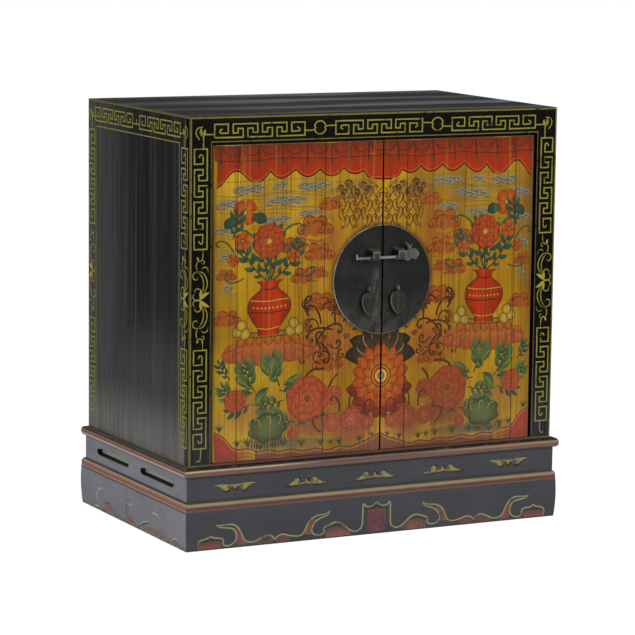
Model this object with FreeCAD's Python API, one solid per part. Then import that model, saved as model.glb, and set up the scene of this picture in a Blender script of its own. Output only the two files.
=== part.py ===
import FreeCAD, Part
import math
import os
from FreeCAD import Vector

# A lacquered two-door cabinet standing on its own low stand.  Millimetres.
# The origin is on the floor under the middle of the case.  +X runs to the right along the
# front, +Y to the back, +Z up, so the doors face -Y.

# ---------------------------------------------------------------- driving dimensions
# case
case_width = 860.0
case_depth = 530.0
case_height = 718.0
side_thickness = 22.0
top_thickness = 22.0
floor_thickness = 22.0
back_thickness = 12.0
back_rebate = 10.0            # how far the back lies in the sides and the top
floor_housing = 7.0           # how far the floor lies in the sides
back_joints = (-140.0, 140.0)  # joints between the three back boards

# front frame
frame_thickness = 24.0
stile_width = 48.0
rail_height = 53.0
tenon_length = 15.0
tenon_thickness = 8.0
tenon_shoulder = 9.0          # rail height left above and below the tenon
stop_drop = 15.0              # top stop strip below the rail
stop_thickness = 12.0

# shelf
shelf_thickness = 18.0
shelf_height = 330.0          # underside of the shelf above the case floor
shelf_setback = 4.0           # shelf edge behind the door battens
cleat_height = 24.0
cleat_width = 20.0

# doors
door_thickness = 22.0
meeting_x = 11.0              # the meeting line is a little right of the middle
meeting_gap = 4.0
heel_gap = 3.0                # between the rounded hinge edge and the stile
door_top_gap = 6.0            # room to lift a door off its pivots
door_bottom_gap = 1.5
door_lip = 5.0                # thin front edge of the floor under the doors
left_hinge_board = 55.0       # board widths; the middle board takes the rest
left_meeting_board = 133.5
right_hinge_board = 49.0
right_meeting_board = 55.0
batten_width = 36.0
batten_thickness = 14.0
batten_chamfer = 4.0
batten_from_end = 120.0       # batten centre line from the top and bottom of a door
batten_end_hinge = 24.0       # batten end to the hinge edge
batten_end_meeting = 8.0      # batten end to the meeting edge
dovetail_depth = 6.0
dovetail_neck = 24.0
dovetail_root = 30.0
pivot_radius = 4.0
pivot_clearance = 0.3
upper_pivot_grip = 10.0       # upper pivot inside the rail
pivot_in_door = 20.0

# lock
lock_height = 541.0           # centre of the round lock plate above the floor
lock_radius = 115.0
lock_thickness = 2.0
lock_rim_chamfer = 1.0
loop_from_meeting_left = 26.0
loop_from_meeting_right = 34.0
loop_above_lock = 53.5        # centre of the two loops above the plate's centre
loop_tall = 25.0
loop_reach = 23.0             # how far a loop stands out from the plate
loop_width = 15.0
loop_strap = 4.0
loop_corner = 9.0
loop_tang = 12.0              # how far the legs go into the door
pin_tall = 5.0
pin_thickness = 4.0
pin_drop_clearance = 0.3      # pin above the inside of the loops
pin_end_clearance = 0.5       # pin head beside the right-hand loop
pin_past_left_loop = 34.0
pin_tip_rise = 7.0
pin_tip_length = 5.0
pin_head_length = 36.0
pin_head_rise = 13.5          # lobe above the bar; its points rise to twice this
pin_head_drop = 5.5
pin_lap = 2.0                 # bar running on into the head

# pulls
pull_from_meeting = 34.0
eye_below_lock = 19.0         # centre of the eye below the plate's centre
eye_radius = 5.0
eye_wire = 1.5                # wire radius
eye_shank = 2.2               # shank radius
eye_shank_length = 18.0
eye_shank_clearance = 0.2
pull_width = 34.0
pull_length = 54.0
pull_thickness = 3.0
pull_hole = 2.4               # hole radius
pull_rim = 1.6                # metal left above the hole

# stand
stand_height = 173.0
stand_top_thickness = 20.0
stand_top_past_side = 16.0    # moulded edge past the case
stand_top_past_front = 14.0
stand_top_past_back = 5.0
stand_rail_width = 70.0
edge_round = 8.0              # radius of the two rounds of the moulded edge
waist_height = 52.0
waist_thickness = 18.0
waist_past_side = 6.5
waist_past_front = 4.0
waist_past_back = 0.5
plinth_thickness = 26.0
plinth_past_side = 12.0
plinth_past_front = 12.0
plinth_past_back = 16.5
plinth_shoulder_width = 5.0
plinth_shoulder_height = 11.0
plinth_bulge = 1.5            # swell of the plinth at mid height
plinth_tuck = 3.0             # how far the foot draws in
post_size = 34.0
post_above_floor = 6.0
bearer_width = 60.0
bearer_tongue = 10.0
bearer_tongue_thickness = 8.0

# sunk ornament of the waist
slot_length = 172.0
slot_tall = 17.0
slot_head = 24.0              # length of its shaped ends
slot_depth = 12.0
slot_spacing = 234.0          # between the middles of the two slots of a side
slot_rise = 28.0              # slot centre above the plinth
carving_depth = 3.0
carving_rise = 25.0           # carving centre above the plinth
carving_length = 106.0
carving_tall = 19.0
carving_spacing = 163.0

# ---------------------------------------------------------------- places worked out
half_width = case_width / 2
front = -case_depth / 2
back = case_depth / 2
case_base = stand_height
case_top_z = stand_height + case_height
frame_back = front + frame_thickness
inside_x = half_width - side_thickness
floor_top = case_base + floor_thickness
rail_bottom = case_top_z - rail_height
opening_x = half_width - stile_width
back_inner = back - back_thickness
back_x = inside_x + back_rebate
back_top = case_top_z - top_thickness + back_rebate

door_back = front + door_thickness
door_bottom = case_base + door_lip + door_bottom_gap
door_top = rail_bottom - door_top_gap
heel_radius = door_thickness / 2
hinge_x = opening_x - heel_gap - heel_radius
hinge_y = front + heel_radius
batten_back = door_back + batten_thickness
plate_front = front - lock_thickness
loop_height = lock_height + loop_above_lock
eye_height = lock_height - eye_below_lock

shelf_z = floor_top + shelf_height
shelf_front = batten_back + shelf_setback

waist_base = stand_height - stand_top_thickness - waist_height
waist_top = waist_base + waist_height
plinth_inner_x = half_width + plinth_past_side - plinth_thickness
post_front_y = front - plinth_past_front + plinth_thickness
post_back_y = back + waist_past_back - waist_thickness


# ---------------------------------------------------------------- shape helpers
def box(x0, x1, y0, y1, z0, z1):
    """A block between two corners."""
    return Part.makeBox(x1 - x0, y1 - y0, z1 - z0, Vector(x0, y0, z0))


def rod(radius, length, start, direction):
    return Part.makeCylinder(radius, length, Vector(*start), Vector(*direction))


def closed_wire(start, *steps):
    """Joins points by lines, or by an arc where a step is a pair (way point, end point)."""
    edges = []
    here = Vector(*start)
    for step in steps + (start,):
        if isinstance(step[0], tuple):
            way, end = Vector(*step[0]), Vector(*step[1])
            edges.append(Part.Arc(here, way, end).toShape())
        else:
            end = Vector(*step)
            if end.distanceToPoint(here) > 1e-6:
                edges.append(Part.LineSegment(here, end).toShape())
        here = end
    return Part.Wire(edges)


def prism(wire, direction):
    return Part.Face(wire).extrude(Vector(*direction))


def save(name, shape):
    shape = shape.removeSplitter()
    if not shape.isValid() or len(shape.Solids) != 1:
        raise ValueError(f"{name}: {len(shape.Solids)} solids, valid {shape.isValid()}")
    shape.exportStep(f"parts/{name}.step")


# ---------------------------------------------------------------- mitred frames of the stand
def mitred_rail(length, profile, depth):
    """A rail along X with its outer line on y = 0 and both ends cut back at 45 degrees.

    profile is a list of closed_wire steps as (distance inwards, height) pairs.
    """

    def place(step):
        if isinstance(step[0], tuple):
            return tuple(place(point) for point in step)
        return (-length / 2, step[0], step[1])

    bar = prism(closed_wire(*[place(step) for step in profile]), (length, 0, 0))
    low, high = bar.BoundBox.ZMin, bar.BoundBox.ZMax
    plan = closed_wire(
        (-length / 2, 0, low),
        (length / 2, 0, low),
        (length / 2 - depth, depth, low),
        (depth - length / 2, depth, low),
    )
    return bar.common(prism(plan, (0, 0, high - low)))


def set_in_place(shape, edge, past_side, past_front, past_back):
    """Turns and moves a rail from y = 0 to the front, right, back or left of the stand."""
    y_front, y_back = front - past_front, back + past_back
    middle = (y_front + y_back) / 2
    turn, spot = {
        "front": (0, Vector(0, y_front, 0)),
        "right": (90, Vector(half_width + past_side, middle, 0)),
        "back": (180, Vector(0, y_back, 0)),
        "left": (270, Vector(-half_width - past_side, middle, 0)),
    }[edge]
    shape = shape.copy()
    shape.rotate(Vector(0, 0, 0), Vector(0, 0, 1), turn)
    shape.translate(spot)
    return shape


def run_length(edge, past_side, past_front, past_back):
    if edge in ("front", "back"):
        return case_width + 2 * past_side
    return case_depth + past_front + past_back


def stand_top():
    """Four mitred rails with a rounded outer edge, and a bearer across the middle."""
    low = waist_top
    high = stand_height
    bevel = edge_round * (1 - math.cos(math.radians(45)))
    profile = [
        (stand_rail_width, low),
        (stand_rail_width, high),
        (edge_round, high),
        ((bevel, high - bevel), (0, high - edge_round)),
        (0, low + edge_round),
        ((bevel, low + bevel), (edge_round, low)),
    ]
    past = (stand_top_past_side, stand_top_past_front, stand_top_past_back)
    y0 = front - stand_top_past_front + stand_rail_width
    y1 = back + stand_top_past_back - stand_rail_width
    tongue_low = low + (stand_top_thickness - bearer_tongue_thickness) / 2
    tongue = box(
        -bearer_width / 2, bearer_width / 2, y0 - bearer_tongue, y1 + bearer_tongue,
        tongue_low, tongue_low + bearer_tongue_thickness,
    )
    bearer = box(-bearer_width / 2, bearer_width / 2, y0, y1, low, high).fuse(tongue)
    save("stand_top_bearer", bearer)
    for edge in ("front", "right", "back", "left"):
        rail = mitred_rail(run_length(edge, *past), profile, stand_rail_width)
        save(f"stand_top_{edge}", set_in_place(rail, edge, *past).cut(bearer))


def sinking(outline, depth):
    """Cuts into the outer face of a board; outline holds closed_wire steps in X and Z."""

    def place(step):
        if isinstance(step[0], tuple):
            return tuple(place(point) for point in step)
        return (step[0], -depth, step[1])

    return prism(closed_wire(*[place(step) for step in outline]), (0, 2 * depth, 0))


def slot_cutter(x, z):
    """A long sunk slot whose ends draw in and then out to a point, like a cloud head."""
    half = slot_length / 2
    tall = slot_tall / 2
    head = [
        (0, 0),
        (0.29 * slot_head, 0.75 * tall),
        (0.62 * slot_head, 0.65 * tall),
        (0.79 * slot_head, 0.72 * tall),
        (slot_head, tall),
    ]
    left = [(x - half + along, z + up) for along, up in head]
    right = [(x + half - along, z + up) for along, up in head]
    outline = [
        left[0], (left[1], left[2]), (left[3], left[4]),
        right[4], (right[3], right[2]), (right[1], right[0]),
        ((x + half - 0.13 * slot_head, z - 0.7 * tall), (x + half - 0.42 * slot_head, z - tall)),
        (x - half + 0.42 * slot_head, z - tall),
        ((x - half + 0.13 * slot_head, z - 0.7 * tall), left[0]),
    ]
    return sinking(outline, slot_depth)


def carving_cutter(x, z, up):
    """A sunk bat: two wings that rise from pointed tips, a hump between them, a level foot."""

    def at(u, v):
        return (x + u * carving_length / 2, z + up * (v - 0.5) * carving_tall)

    wing = [at(1, 0.14), (at(0.72, 0.34), at(0.48, 0.88)), (at(0.36, 1), at(0.25, 0.80)),
            (at(0.22, 0.58), at(0.16, 0.40)), at(0.10, 0.44)]
    hump = [(at(0, 0.84), at(-0.10, 0.44)), at(-0.16, 0.40)]
    other_wing = [(at(-0.22, 0.58), at(-0.25, 0.80)), (at(-0.36, 1), at(-0.48, 0.88)),
                  (at(-0.72, 0.34), at(-1, 0.14))]
    foot = [(at(-0.60, -0.04), at(-0.25, 0.05)), (at(0, 0.10), at(0.25, 0.05)),
            (at(0.60, -0.04), at(1, 0.14))]
    outline = wing + hump + other_wing + foot
    return sinking(outline, carving_depth)


def waist():
    """Four mitred boards: five sunk bats in the front, two sunk slots in each side."""
    profile = [(0, waist_base), (0, waist_top), (waist_thickness, waist_top),
               (waist_thickness, waist_base)]
    past = (waist_past_side, waist_past_front, waist_past_back)
    for edge in ("front", "right", "back", "left"):
        board = mitred_rail(run_length(edge, *past), profile, waist_thickness)
        if edge == "front":
            for step in (-2, -1, 0, 1, 2):
                up = -1 if abs(step) == 2 else 1
                x, z = step * carving_spacing, waist_base + carving_rise
                board = board.cut(carving_cutter(x, z, up))
        elif edge != "back":
            for x in (-slot_spacing / 2, slot_spacing / 2):
                board = board.cut(slot_cutter(x, waist_base + slot_rise))
        save(f"waist_{edge}", set_in_place(board, edge, *past))


def plinth():
    """Four mitred boards, swelling slightly and rounded over to the foot of the waist."""
    shoulder = waist_base - plinth_shoulder_height
    bulge = plinth_bulge
    profile = [
        (plinth_thickness, waist_base),
        (plinth_shoulder_width + bulge, waist_base),
        ((0.28 * plinth_shoulder_width + bulge, waist_base - 0.3 * plinth_shoulder_height),
         (bulge, shoulder)),
        ((0, 0.55 * shoulder), (plinth_tuck, 0)),
        (plinth_thickness, 0),
    ]
    past = (plinth_past_side, plinth_past_front, plinth_past_back)
    for edge in ("front", "right", "back", "left"):
        board = mitred_rail(run_length(edge, *past), profile, plinth_thickness)
        save(f"plinth_{edge}", set_in_place(board, edge, *past))
    for name, y0 in (("front", post_front_y), ("back", post_back_y - post_size)):
        for side, x0 in (("left", -plinth_inner_x), ("right", plinth_inner_x - post_size)):
            post = box(x0, x0 + post_size, y0, y0 + post_size, post_above_floor, waist_top)
            save(f"stand_post_{name}_{side}", post)


# ---------------------------------------------------------------- case
def side_outline(sign):
    return closed_wire(
        (sign * half_width, frame_back, case_base),
        (sign * half_width, frame_back, case_top_z),
        (sign * inside_x, frame_back, case_top_z - top_thickness),
        (sign * inside_x, frame_back, case_base),
    )


def case_boards():
    """Sides and top mitred together, floor and back let into them."""
    length = back - frame_back
    floor = box(
        -inside_x - floor_housing, inside_x + floor_housing, frame_back, back_inner,
        case_base, floor_top,
    )
    panel = box(-back_x, back_x, back_inner, back, case_base, back_top)
    for name, sign in (("left", -1), ("right", 1)):
        side = prism(side_outline(sign), (0, length, 0)).cut(floor).cut(panel)
        save(f"case_side_{name}", side)
    top = prism(
        closed_wire(
            (-half_width, frame_back, case_top_z),
            (half_width, frame_back, case_top_z),
            (inside_x, frame_back, case_top_z - top_thickness),
            (-inside_x, frame_back, case_top_z - top_thickness),
        ),
        (0, length, 0),
    )
    save("case_top", top.cut(panel))
    lip = box(-opening_x, opening_x, front, frame_back, case_base, case_base + door_lip)
    floor = floor.fuse(lip)
    for sign in (-1, 1):
        socket = rod(pivot_radius + pivot_clearance, door_lip,
                     (sign * hinge_x, hinge_y, case_base), (0, 0, 1))
        floor = floor.cut(socket)
    save("case_floor", floor)
    edges = (-back_x,) + back_joints + (back_x,)
    for name, x0, x1 in zip(("left", "middle", "right"), edges, edges[1:]):
        # seen from the front, left is -X
        save(f"case_back_{name}", box(x0, x1, back_inner, back, case_base, back_top))


def front_frame():
    """Two stiles, the top rail tenoned between them, and the stop strip behind the rail."""
    y_mid = (front + frame_back) / 2
    tenons = box(
        -opening_x - tenon_length, opening_x + tenon_length,
        y_mid - tenon_thickness / 2, y_mid + tenon_thickness / 2,
        rail_bottom + tenon_shoulder, case_top_z - tenon_shoulder,
    )
    rail = box(-opening_x, opening_x, front, frame_back, rail_bottom, case_top_z).fuse(tenons)
    socket_depth = upper_pivot_grip + door_top_gap + 2 * pivot_clearance
    for sign in (-1, 1):
        socket = rod(pivot_radius + pivot_clearance, socket_depth,
                     (sign * hinge_x, hinge_y, rail_bottom), (0, 0, 1))
        rail = rail.cut(socket)
    save("top_rail", rail)
    for name, x0, x1 in (("left", -half_width, -opening_x), ("right", opening_x, half_width)):
        stile = box(x0, x1, front, frame_back, case_base, case_top_z)
        save(f"stile_{name}", stile.cut(tenons))
    stop = box(-inside_x, inside_x, frame_back, frame_back + stop_thickness,
               rail_bottom - stop_drop, case_top_z - top_thickness)
    save("door_stop_strip", stop)


def shelf():
    save("shelf", box(-inside_x, inside_x, shelf_front, back_inner,
                      shelf_z, shelf_z + shelf_thickness))
    for name, x0 in (("left", -inside_x), ("right", inside_x - cleat_width)):
        cleat = box(x0, x0 + cleat_width, shelf_front, back_inner, shelf_z - cleat_height, shelf_z)
        save(f"shelf_cleat_{name}", cleat)


# ---------------------------------------------------------------- doors
def batten_shape(x0, x1, z, to_tongue=False):
    """A batten along X with a dovetail tongue; to_tongue gives the tongue alone."""
    half = batten_width / 2
    neck, root = dovetail_neck / 2, dovetail_root / 2
    deep = door_back - dovetail_depth
    tongue = [(x0, door_back, z - neck), (x0, deep, z - root), (x0, deep, z + root),
              (x0, door_back, z + neck)]
    if to_tongue:
        return prism(closed_wire(*tongue), (x1 - x0, 0, 0))
    outline = tongue + [
        (x0, door_back, z + half),
        (x0, batten_back - batten_chamfer, z + half),
        (x0, batten_back, z + half - batten_chamfer),
        (x0, batten_back, z - half + batten_chamfer),
        (x0, batten_back - batten_chamfer, z - half),
        (x0, door_back, z - half),
    ]
    return prism(closed_wire(*outline), (x1 - x0, 0, 0))


def heel_board(sign, joint):
    """The board at the hinge, with its edge rounded about the pivot line."""
    edge = sign * (hinge_x + heel_radius)
    turn = sign * hinge_x
    wire = closed_wire(
        (joint, front, door_bottom),
        (turn, front, door_bottom),
        ((edge, hinge_y, door_bottom), (turn, door_back, door_bottom)),
        (joint, door_back, door_bottom),
    )
    return prism(wire, (0, 0, door_top - door_bottom))


def loop_shape(x):
    """A strap bent to a loop, its two legs driven through the plate into the door."""
    x0 = x - loop_width / 2
    low, high = loop_height - loop_tall / 2, loop_height + loop_tall / 2
    tail = front + loop_tang
    nose = plate_front - loop_reach

    def bend(inset):
        r = loop_corner - inset
        cut = r * (1 - math.cos(math.radians(45)))
        y, z0, z1 = nose + inset, low + inset, high - inset
        return [
            (x0, y + r, z0),
            ((x0, y + cut, z0 + cut), (x0, y, z0 + r)),
            (x0, y, z1 - r),
            ((x0, y + cut, z1 - cut), (x0, y + r, z1)),
        ]

    outer = prism(closed_wire((x0, tail, low), *bend(0), (x0, tail, high)), (loop_width, 0, 0))
    hollow = closed_wire((x0, tail, low + loop_strap), *bend(loop_strap),
                         (x0, tail, high - loop_strap))
    return outer.cut(prism(hollow, (loop_width, 0, 0)))


def eye_shape(x, spare=0.0):
    """A split-pin eye: a ring of flattened wire standing upright on a shank in the door."""
    y = plate_front - eye_radius - eye_wire
    shank = rod(eye_shank + spare, eye_shank_length + eye_wire,
                (x, plate_front - eye_wire, eye_height), (0, 1, 0))
    if spare:
        return shank
    corners = [math.radians(22.5 + 45 * k) for k in range(8)]
    section = closed_wire(*[(x + eye_wire * math.cos(a), y - eye_radius + eye_wire * math.sin(a),
                             eye_height) for a in corners])
    ring = Part.Face(section).revolve(Vector(x, y, eye_height), Vector(1, 0, 0), 360)
    return ring.fuse(shank)


def plate_half(sign):
    """Half of the round plate, its rim chamfered, cut back to the meeting edge."""
    disc = rod(lock_radius, lock_thickness, (meeting_x, plate_front, lock_height), (0, 1, 0))
    rim = [e for e in disc.Edges
           if isinstance(e.Curve, Part.Circle) and abs(e.Curve.Center.y - plate_front) < 1e-6]
    disc = disc.makeChamfer(lock_rim_chamfer, rim)
    edge = meeting_x + sign * meeting_gap / 2
    far = edge + sign * 2 * lock_radius
    half = box(min(edge, far), max(edge, far), plate_front - 1, front + 1,
               lock_height - 2 * lock_radius, lock_height + 2 * lock_radius)
    return disc.common(half)


def door(name, sign, hinge_board, meeting_board, loop_offset):
    """One door: three boards, two dovetailed battens, two pivots, and its half of the lock."""
    meeting = meeting_x + sign * meeting_gap / 2
    heel = sign * (hinge_x + heel_radius)
    joints = (heel - sign * hinge_board, meeting + sign * meeting_board)
    end_hinge = heel - sign * batten_end_hinge
    end_meeting = meeting + sign * batten_end_meeting
    heights = (("lower", door_bottom + batten_from_end), ("upper", door_top - batten_from_end))

    x_loop = meeting_x + sign * loop_offset
    x_eye = meeting_x + sign * pull_from_meeting
    loop = loop_shape(x_loop)
    eye = eye_shape(x_eye)
    plate = plate_half(sign).cut(loop).cut(eye_shape(x_eye, eye_shank_clearance))
    save(f"lock_plate_{name}", plate)
    save(f"lock_loop_{name}", loop)
    save(f"pull_eye_{name}", eye)

    cutters = [loop, eye_shape(x_eye, eye_shank_clearance)]
    for place, z in heights:
        x0, x1 = sorted((end_hinge, end_meeting))
        save(f"door_{name}_batten_{place}", batten_shape(x0, x1, z))
        x0, x1 = sorted((end_hinge, meeting))
        cutters.append(batten_shape(x0, x1, z, to_tongue=True))

    lower = rod(pivot_radius, door_lip + door_bottom_gap - pivot_clearance + pivot_in_door,
                (sign * hinge_x, hinge_y, case_base + pivot_clearance), (0, 0, 1))
    upper = rod(pivot_radius, pivot_in_door + door_top_gap + upper_pivot_grip,
                (sign * hinge_x, hinge_y, door_top - pivot_in_door), (0, 0, 1))
    save(f"door_{name}_pivot_lower", lower)
    save(f"door_{name}_pivot_upper", upper)
    cutters += [lower, upper]

    boards = {
        "hinge_board": heel_board(sign, joints[0]),
        "middle_board": box(min(joints), max(joints), front, door_back, door_bottom, door_top),
        "meeting_board": box(min(joints[1], meeting), max(joints[1], meeting), front, door_back,
                             door_bottom, door_top),
    }
    for piece, board in boards.items():
        for cutter in cutters:
            board = board.cut(cutter)
        save(f"door_{name}_{piece}", board)


def pull(name, sign):
    """A leaf-shaped drop, hung by the hole at its top on the lowest point of the eye."""
    x = meeting_x + sign * pull_from_meeting
    y = plate_front - eye_radius - eye_wire - pull_thickness / 2
    hole_z = eye_height - eye_radius
    top = hole_z + pull_hole + pull_rim
    foot = top - pull_length
    widest = top - 0.42 * pull_length
    half = pull_width / 2
    neck = pull_hole + pull_rim
    wire = closed_wire(
        (x - neck, y, hole_z),
        ((x, y, top), (x + neck, y, hole_z)),
        ((x + 0.79 * half, y, top - 0.20 * pull_length), (x + half, y, widest)),
        ((x + 0.74 * half, y, foot + 0.24 * pull_length), (x, y, foot)),
        ((x - 0.74 * half, y, foot + 0.24 * pull_length), (x - half, y, widest)),
        ((x - 0.79 * half, y, top - 0.20 * pull_length), (x - neck, y, hole_z)),
    )
    leaf = prism(wire, (0, pull_thickness, 0))
    hole = rod(pull_hole, 2 * pull_thickness, (x, y - pull_thickness / 2, hole_z), (0, 1, 0))
    save(f"pull_{name}", leaf.cut(hole))


def lock_pin():
    """The flat sliding pin: an upturned tip, a bar through both loops and a flared head."""
    y = plate_front - loop_reach / 2 - pin_thickness / 2
    low = loop_height - loop_tall / 2 + loop_strap + pin_drop_clearance
    high = low + pin_tall
    left = meeting_x - loop_from_meeting_left - loop_width / 2 - pin_past_left_loop
    neck = meeting_x + loop_from_meeting_right + loop_width / 2 + pin_end_clearance
    bar = prism(
        closed_wire(
            (left, y, low),
            (left, y, high + pin_tip_rise),
            ((left + 0.34 * pin_tip_length, y, high + 0.4 * pin_tip_rise),
             (left + pin_tip_length, y, high)),
            (neck + pin_lap, y, high),
            (neck + pin_lap, y, low),
        ),
        (0, pin_thickness, 0),
    )
    def above(u, v):
        """A point u of the head's length along it and v of its rise above the bar."""
        return (neck + u * pin_head_length, y, high + v * pin_head_rise)

    def below(u, v):
        return (neck + u * pin_head_length, y, low - v * pin_head_drop)

    # the head is a fish-tail lobe with two leaf points above it
    lobe = closed_wire(
        below(0, 0.55),
        above(0, 0.52),
        (above(0.30, 0.89), above(0.67, 1)),
        (above(0.92, 0.74), above(1, 0)),
        (below(0.94, 0.18), below(0.83, 0.90)),
        (below(0.61, 0.45), below(0.39, 1)),
        (below(0.17, 0.90), below(0, 0.55)),
    )
    points = closed_wire(
        above(0.36, 0.80),
        (above(0.25, 1.50), above(0.11, 2.00)),
        (above(0.31, 1.78), above(0.43, 1.40)),
        above(0.58, 1.85),
        (above(0.54, 1.33), above(0.53, 0.89)),
    )
    head = prism(lobe, (0, pin_thickness, 0)).fuse(prism(points, (0, pin_thickness, 0)))
    save("lock_pin", bar.fuse(head))


os.makedirs("parts", exist_ok=True)
stand_top()
waist()
plinth()
case_boards()
front_frame()
shelf()
door("left", -1, left_hinge_board, left_meeting_board, loop_from_meeting_left)
door("right", 1, right_hinge_board, right_meeting_board, loop_from_meeting_right)
pull("left", -1)
pull("right", 1)
lock_pin()
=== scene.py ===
import bmesh
import bpy
import numpy as np
from mathutils import Matrix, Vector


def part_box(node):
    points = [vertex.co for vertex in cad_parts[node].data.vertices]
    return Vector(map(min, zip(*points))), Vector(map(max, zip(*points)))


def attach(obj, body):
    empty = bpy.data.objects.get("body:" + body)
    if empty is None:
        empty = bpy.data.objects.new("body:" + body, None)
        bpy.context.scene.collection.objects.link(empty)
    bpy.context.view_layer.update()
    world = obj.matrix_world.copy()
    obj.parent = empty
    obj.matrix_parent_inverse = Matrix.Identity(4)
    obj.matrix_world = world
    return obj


# A two-door cabinet of lacquered softwood on its own low stand. Metres. The doors face -Y.
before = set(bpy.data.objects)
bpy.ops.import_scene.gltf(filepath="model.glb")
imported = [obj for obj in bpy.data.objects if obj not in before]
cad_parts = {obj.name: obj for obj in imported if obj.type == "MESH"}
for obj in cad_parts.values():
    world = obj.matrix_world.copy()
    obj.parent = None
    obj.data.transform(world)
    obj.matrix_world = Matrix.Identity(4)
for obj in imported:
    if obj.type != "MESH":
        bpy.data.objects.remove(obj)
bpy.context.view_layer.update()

# ------------------------------------------------------------------ plinth
# Four softwood boards, mitred and swelling a little, rounded over where they meet the waist. They
# are lacquered slate black and lined along the shoulder in old gold, orange and red, with a
# painted apron of scrolls that is much worn on the sides.


class Field:
    """A number, place or colour that varies over a surface: an output of a shader node. Sums on it
    add nodes to the same material; a comparison gives 1 where it holds and 0 elsewhere."""

    def __init__(self, socket):
        self.socket, self.node, self.tree = socket, socket.node, socket.id_data

    def __rsub__(self, other):
        return maths("SUBTRACT", other, self)


def sums(operation):
    """What a sign between two Fields does: it adds a node with this operation."""
    return lambda *values: maths(operation, *values)


for sign, operation in (("add", "ADD"), ("sub", "SUBTRACT"), ("mul", "MULTIPLY"), ("truediv", "DIVIDE"),
                        ("gt", "GREATER_THAN"), ("lt", "LESS_THAN"), ("abs", "ABSOLUTE")):
    setattr(Field, f"__{sign}__", sums(operation))


def put(kind, feeds, out=0, tree=None, **choices):
    """Adds one node and gives back one of its outputs. A feed is a value, or the Field it is linked
    to; the tree is named only where no feed is a Field."""
    tree = tree or next(feed.tree for feed in feeds.values() if isinstance(feed, Field))
    node = tree.nodes.new("ShaderNode" + kind)
    for name, value in choices.items():
        setattr(node, name, value)
    for key, value in feeds.items():
        if isinstance(value, Field):
            tree.links.new(value.socket, node.inputs[key])
        else:
            node.inputs[key].default_value = value
    return Field(node.outputs[out])


def maths(operation, *values):
    return put("Math", dict(enumerate(values)), operation=operation)


def parts(where):
    """The X, Y and Z of a place."""
    return [Field(socket) for socket in put("SeparateXYZ", {0: where}).node.outputs]


def screen(colour):
    """A colour in parts of 255, as a screen shows it, made linear. A Field and a colour of four parts
    are linear already."""
    if isinstance(colour, Field) or len(colour) == 4:
        return colour
    share = np.array(colour) / 255
    return (*np.where(share < 0.04045, share / 12.92, ((share + 0.055) / 1.055) ** 2.4), 1.0)


def blend(colour, share, other):
    """A colour with a share of another laid over it."""
    return put("Mix", {0: share, 6: screen(colour), 7: screen(other)}, 2, data_type="RGBA")


def spread(value, low, high, first=0.0, last=1.0):
    """The value eased from first, at low, to last, at high."""
    return put("MapRange", {0: value, 1: low, 2: high, 3: first, 4: last}, interpolation_type="SMOOTHSTEP")


def tinge(colour, tint, value, low, high, first, last):
    """A colour with a tint over it, its share eased from first, at low, to last, at high."""
    return blend(colour, spread(value, low, high, first, last), tint)


def ramp(value, stops, how="LINEAR"):
    """Colours along a value: stops are (value, colour) pairs."""
    out = put("ValToRGB", {0: value})
    band = out.node.color_ramp
    band.interpolation = how
    while len(band.elements) < len(stops):
        band.elements.new(0.5)
    for element, (place, colour) in zip(band.elements, stops):
        element.position = place
        element.color = screen(colour)
    return out


def cloud(where, stretch, detail=4.0, rough=0.55, shift=(0, 0, 0)):
    """Soft noise from 0 to 1. stretch is how often it turns over in a metre: one number, or one each for
    X, Y and Z."""
    moved = put("Mapping", {"Vector": where, "Location": shift, "Scale": np.zeros(3) + stretch})
    return put("TexNoise", {"Vector": moved, "Scale": 1.0, "Detail": detail, "Roughness": rough})


def arris(where, box):
    """How far a point on a board lies from the nearest edge of the board's box: the middle one of its
    three distances to the box's faces."""
    a, b, c = ((high - low) / 2 - abs(place - (low + high) / 2)
               for place, low, high in zip(parts(where), *np.array(box).tolist()))
    return maths("MAXIMUM", maths("MINIMUM", a, b), maths("MINIMUM", maths("MAXIMUM", a, b), c))


def finish(name, ground, rough, shine, bare=None, rub=0.002, box=None, painted=0.0, age=None, bump=0.15):
    """A lacquer or paint. ground(where) gives its colour and its grain, and age(where, colour) what time
    has done to it. bare is the colour that shows where the edges of the box are rubbed, rub wide.
    painted is how much of the piece's own painted colours is rubbed through."""
    material = bpy.data.materials.new(name)
    material.use_nodes = True
    tree = material.node_tree
    where = put("TexCoord", {}, 3, tree)
    colour, grain = ground(where)
    fine = cloud(where, 260, 3.0, 0.6)
    if painted:
        tint = put("Attribute", {}, 0, tree, attribute_name="paint")
        lost = cloud(where, 38, 5.0, 0.72) + fine * 0.35
        held = spread(lost, 0.92 - painted * 0.5, 0.74 - painted * 0.5)
        colour = blend(colour, Field(tint.node.outputs["Alpha"]) * held, tint)
    if age:
        colour = age(where, colour)
    if bare:
        ragged = cloud(where, 55, 5.0, 0.7) * (rub * 2.6)
        colour = tinge(colour, bare, arris(where, box) - ragged, -0.1 * rub, -0.6 * rub, 0.0, 1.0)
    relief = put("Bump", {"Strength": bump, "Distance": 0.0006, "Height": grain + fine * 0.5})
    shader = tree.nodes["Principled BSDF"]
    shader.inputs["Specular IOR Level"].default_value = shine
    dull = grain * 0.22 + (rough - 0.11)
    for key, field in (("Base Color", colour), ("Roughness", dull), ("Normal", relief)):
        tree.links.new(field.socket, shader.inputs[key])
    return material


def clad(board, ground, rough, shine, bare=None, rub=0.002, box=None, **more):
    """Gives a board of the frame a finish of its own, rubbed along the edges of its box."""
    material = finish(board, ground, rough, shine, bare, rub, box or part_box(board), **more)
    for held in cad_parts[board].material_slots:
        held.material = material


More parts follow.
